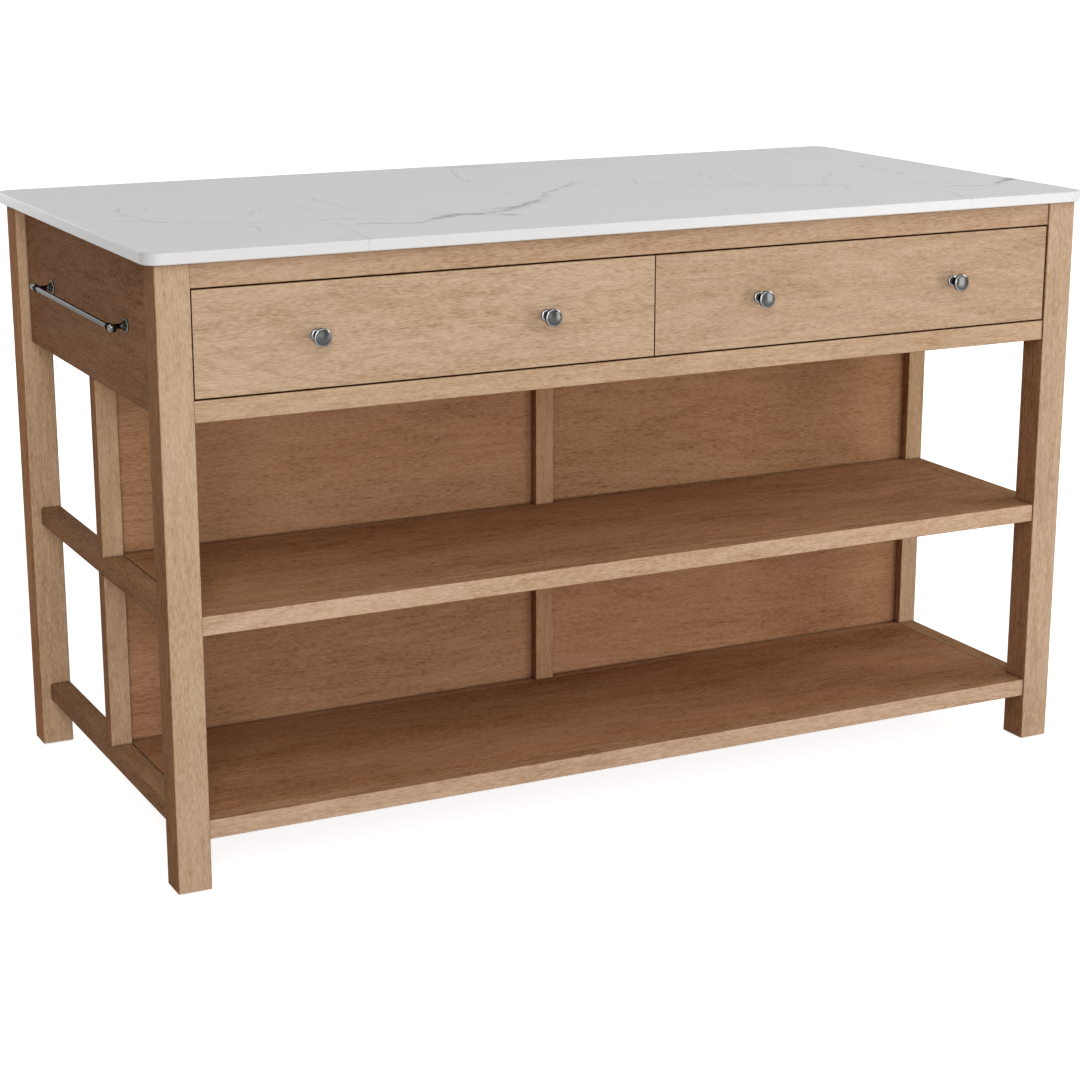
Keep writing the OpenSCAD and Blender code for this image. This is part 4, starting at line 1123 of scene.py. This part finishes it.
def looked_at(tree):
    """1 for the camera, mirrors and glass, and 0 for light on its way between matt things."""
    seen = put(tree, "LightPath").outputs
    mirrored = sums(tree, "MAXIMUM", seen["Is Glossy Ray"], seen["Is Transmission Ray"])
    return sums(tree, "MAXIMUM", seen["Is Camera Ray"], mirrored)


def pale_floor():
    """A wide floor that goes to white for the camera and keeps the shadow."""
    finish, tree, here = new_finish("pale floor")
    paper = cloud(tree, here, PAPER)
    matt = put(tree, "BsdfDiffuse", {"Color": tint_scale(tree, paper, FLOOR_TONES)}).outputs[0]
    warm = put(tree, "BsdfDiffuse", {"Color": tint_scale(tree, paper, FLOOR_THROWS_BACK)}).outputs[0]
    away = put(tree, "VectorMath", {0: here}, operation="LENGTH").outputs["Value"]
    glow = put(tree, "Emission", {"Color": WHITE, "Strength": between(tree, away, *GLOW)}).outputs[0]
    both = put(tree, "AddShader", {0: matt, 1: glow}).outputs[0]
    surface = put(tree, "MixShader", {0: looked_at(tree), 1: warm, 2: both}).outputs[0]
    put(tree, "OutputMaterial", {"Surface": surface})
    return finish


floor_mesh = bpy.data.meshes.new("studio_floor")
sheet = bmesh.new()
bmesh.ops.create_grid(sheet, x_segments=FLOOR_SQUARES, y_segments=FLOOR_SQUARES, size=FLOOR_REACH)
sheet.to_mesh(floor_mesh)
sheet.free()
floor_mesh.materials.append(pale_floor())
floor = bpy.data.objects.new("studio_floor", floor_mesh)
floor.location.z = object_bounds()[0].z
bpy.context.scene.collection.objects.link(floor)
print("the floor reaches", FLOOR_REACH, "m each way")

# %% [markdown]
# ## A dim sky
#
# Everything that no lamp reaches is filled by a dim, even sky, as the white walls of a studio
# would do. The camera and the mirrors see it as plain white, so the backdrop is clean and the
# metal has something pale to mirror.

# %% The dim sky round the studio
SKY_LIGHT = 0.33
sky = bpy.data.worlds.new("studio sky")
bpy.context.scene.world = sky
sky.use_nodes = True
tree = sky.node_tree
tree.nodes.clear()
dim = put(tree, "Background", {"Color": WHITE, "Strength": SKY_LIGHT}).outputs[0]
white = put(tree, "Background", {"Color": WHITE, "Strength": 1.0}).outputs[0]
put(tree, "OutputWorld", {
    "Surface": put(tree, "MixShader", {0: looked_at(tree), 1: dim, 2: white}).outputs[0],
})
print("the sky gives", SKY_LIGHT, "of the light of a white one")

# %% [markdown]
# ## Soft light
#
# Large lamps give soft edges. A tall panel at the front left does most of the work, and its
# mirror image is the bright crescent on the knobs. A low panel at the right lights the faces
# of the right-hand knobs, a low one in front reaches under the drawers to the back panels, a
# high one evens the stone, one at the right models the legs, and a low one behind keeps the
# back of the island readable. How bright the first five have to be was found by rendering each
# lamp alone and balancing the pictures, and the brightness of the one behind is given.

# %% Soft lamps
AIM = Vector((0.0, 0.0, 0.45))
LAMP_AWAY = 4.6


def softbox(name, azimuth, elevation, width, height, brightness, away=LAMP_AWAY):
    """A flat lamp that faces the island from this direction: 0 is straight in front, 90 is the right.

    Its face is this wide and high in metres, and this bright, 1 being white.
    """
    turn, rise = math.radians(azimuth), math.radians(elevation)
    lamp = bpy.data.lights.new(name, "AREA")
    lamp.shape = "RECTANGLE"
    lamp.size, lamp.size_y = width, height
    lamp.energy = brightness * math.pi * width * height
    stand = bpy.data.objects.new(name, lamp)
    stand.location = AIM + away * Vector((
        math.sin(turn) * math.cos(rise), -math.cos(turn) * math.cos(rise), math.sin(rise)
    ))
    stand.rotation_euler = (AIM - stand.location).to_track_quat("-Z", "Y").to_euler()
    bpy.context.scene.collection.objects.link(stand)


softbox("tall left panel", -30, 23, 1.25, 4.4, 4.8)
softbox("low right panel", 37, 4, 1.0, 1.33, 6.3, away=3.4)
softbox("low front panel", 0, 7, 2.3, 1.8, 2.0)
softbox("high front panel", 5, 45, 2.4, 1.6, 1.45)
softbox("right panel", 68, 28, 1.8, 1.8, 5.0)
softbox("low back panel", -166, 10, 2.0, 1.8, 2.2)

# %% [markdown]
# ## The camera
#
# The picture was taken from the front left, a little above the worktop, with a long lens, so
# the verticals stay almost parallel. The place and the turn below were fitted to the edges of
# the legs, rails and shelves.

# %% Camera at the picture's view
LENS, SENSOR = 81.24, 36.0  # millimetres
CAMERA_PLACE = (-1.7327, -3.4577, 1.3806)
CAMERA_TILT, CAMERA_TURN = 74.97, -26.555  # degrees, up from straight down and anticlockwise
FAR_END = 200.0

lens = bpy.data.cameras.new("long lens")
lens.lens = LENS
lens.sensor_width = SENSOR
lens.clip_end = FAR_END
camera = bpy.data.objects.new("camera", lens)
camera.location = CAMERA_PLACE
camera.rotation_euler = (math.radians(CAMERA_TILT), 0.0, math.radians(CAMERA_TURN))
bpy.context.scene.collection.objects.link(camera)
bpy.context.scene.camera = camera
bpy.context.scene.view_settings.view_transform = "Standard"
print("the camera stands", round((camera.location - AIM).length, 2), "m from the island's middle")
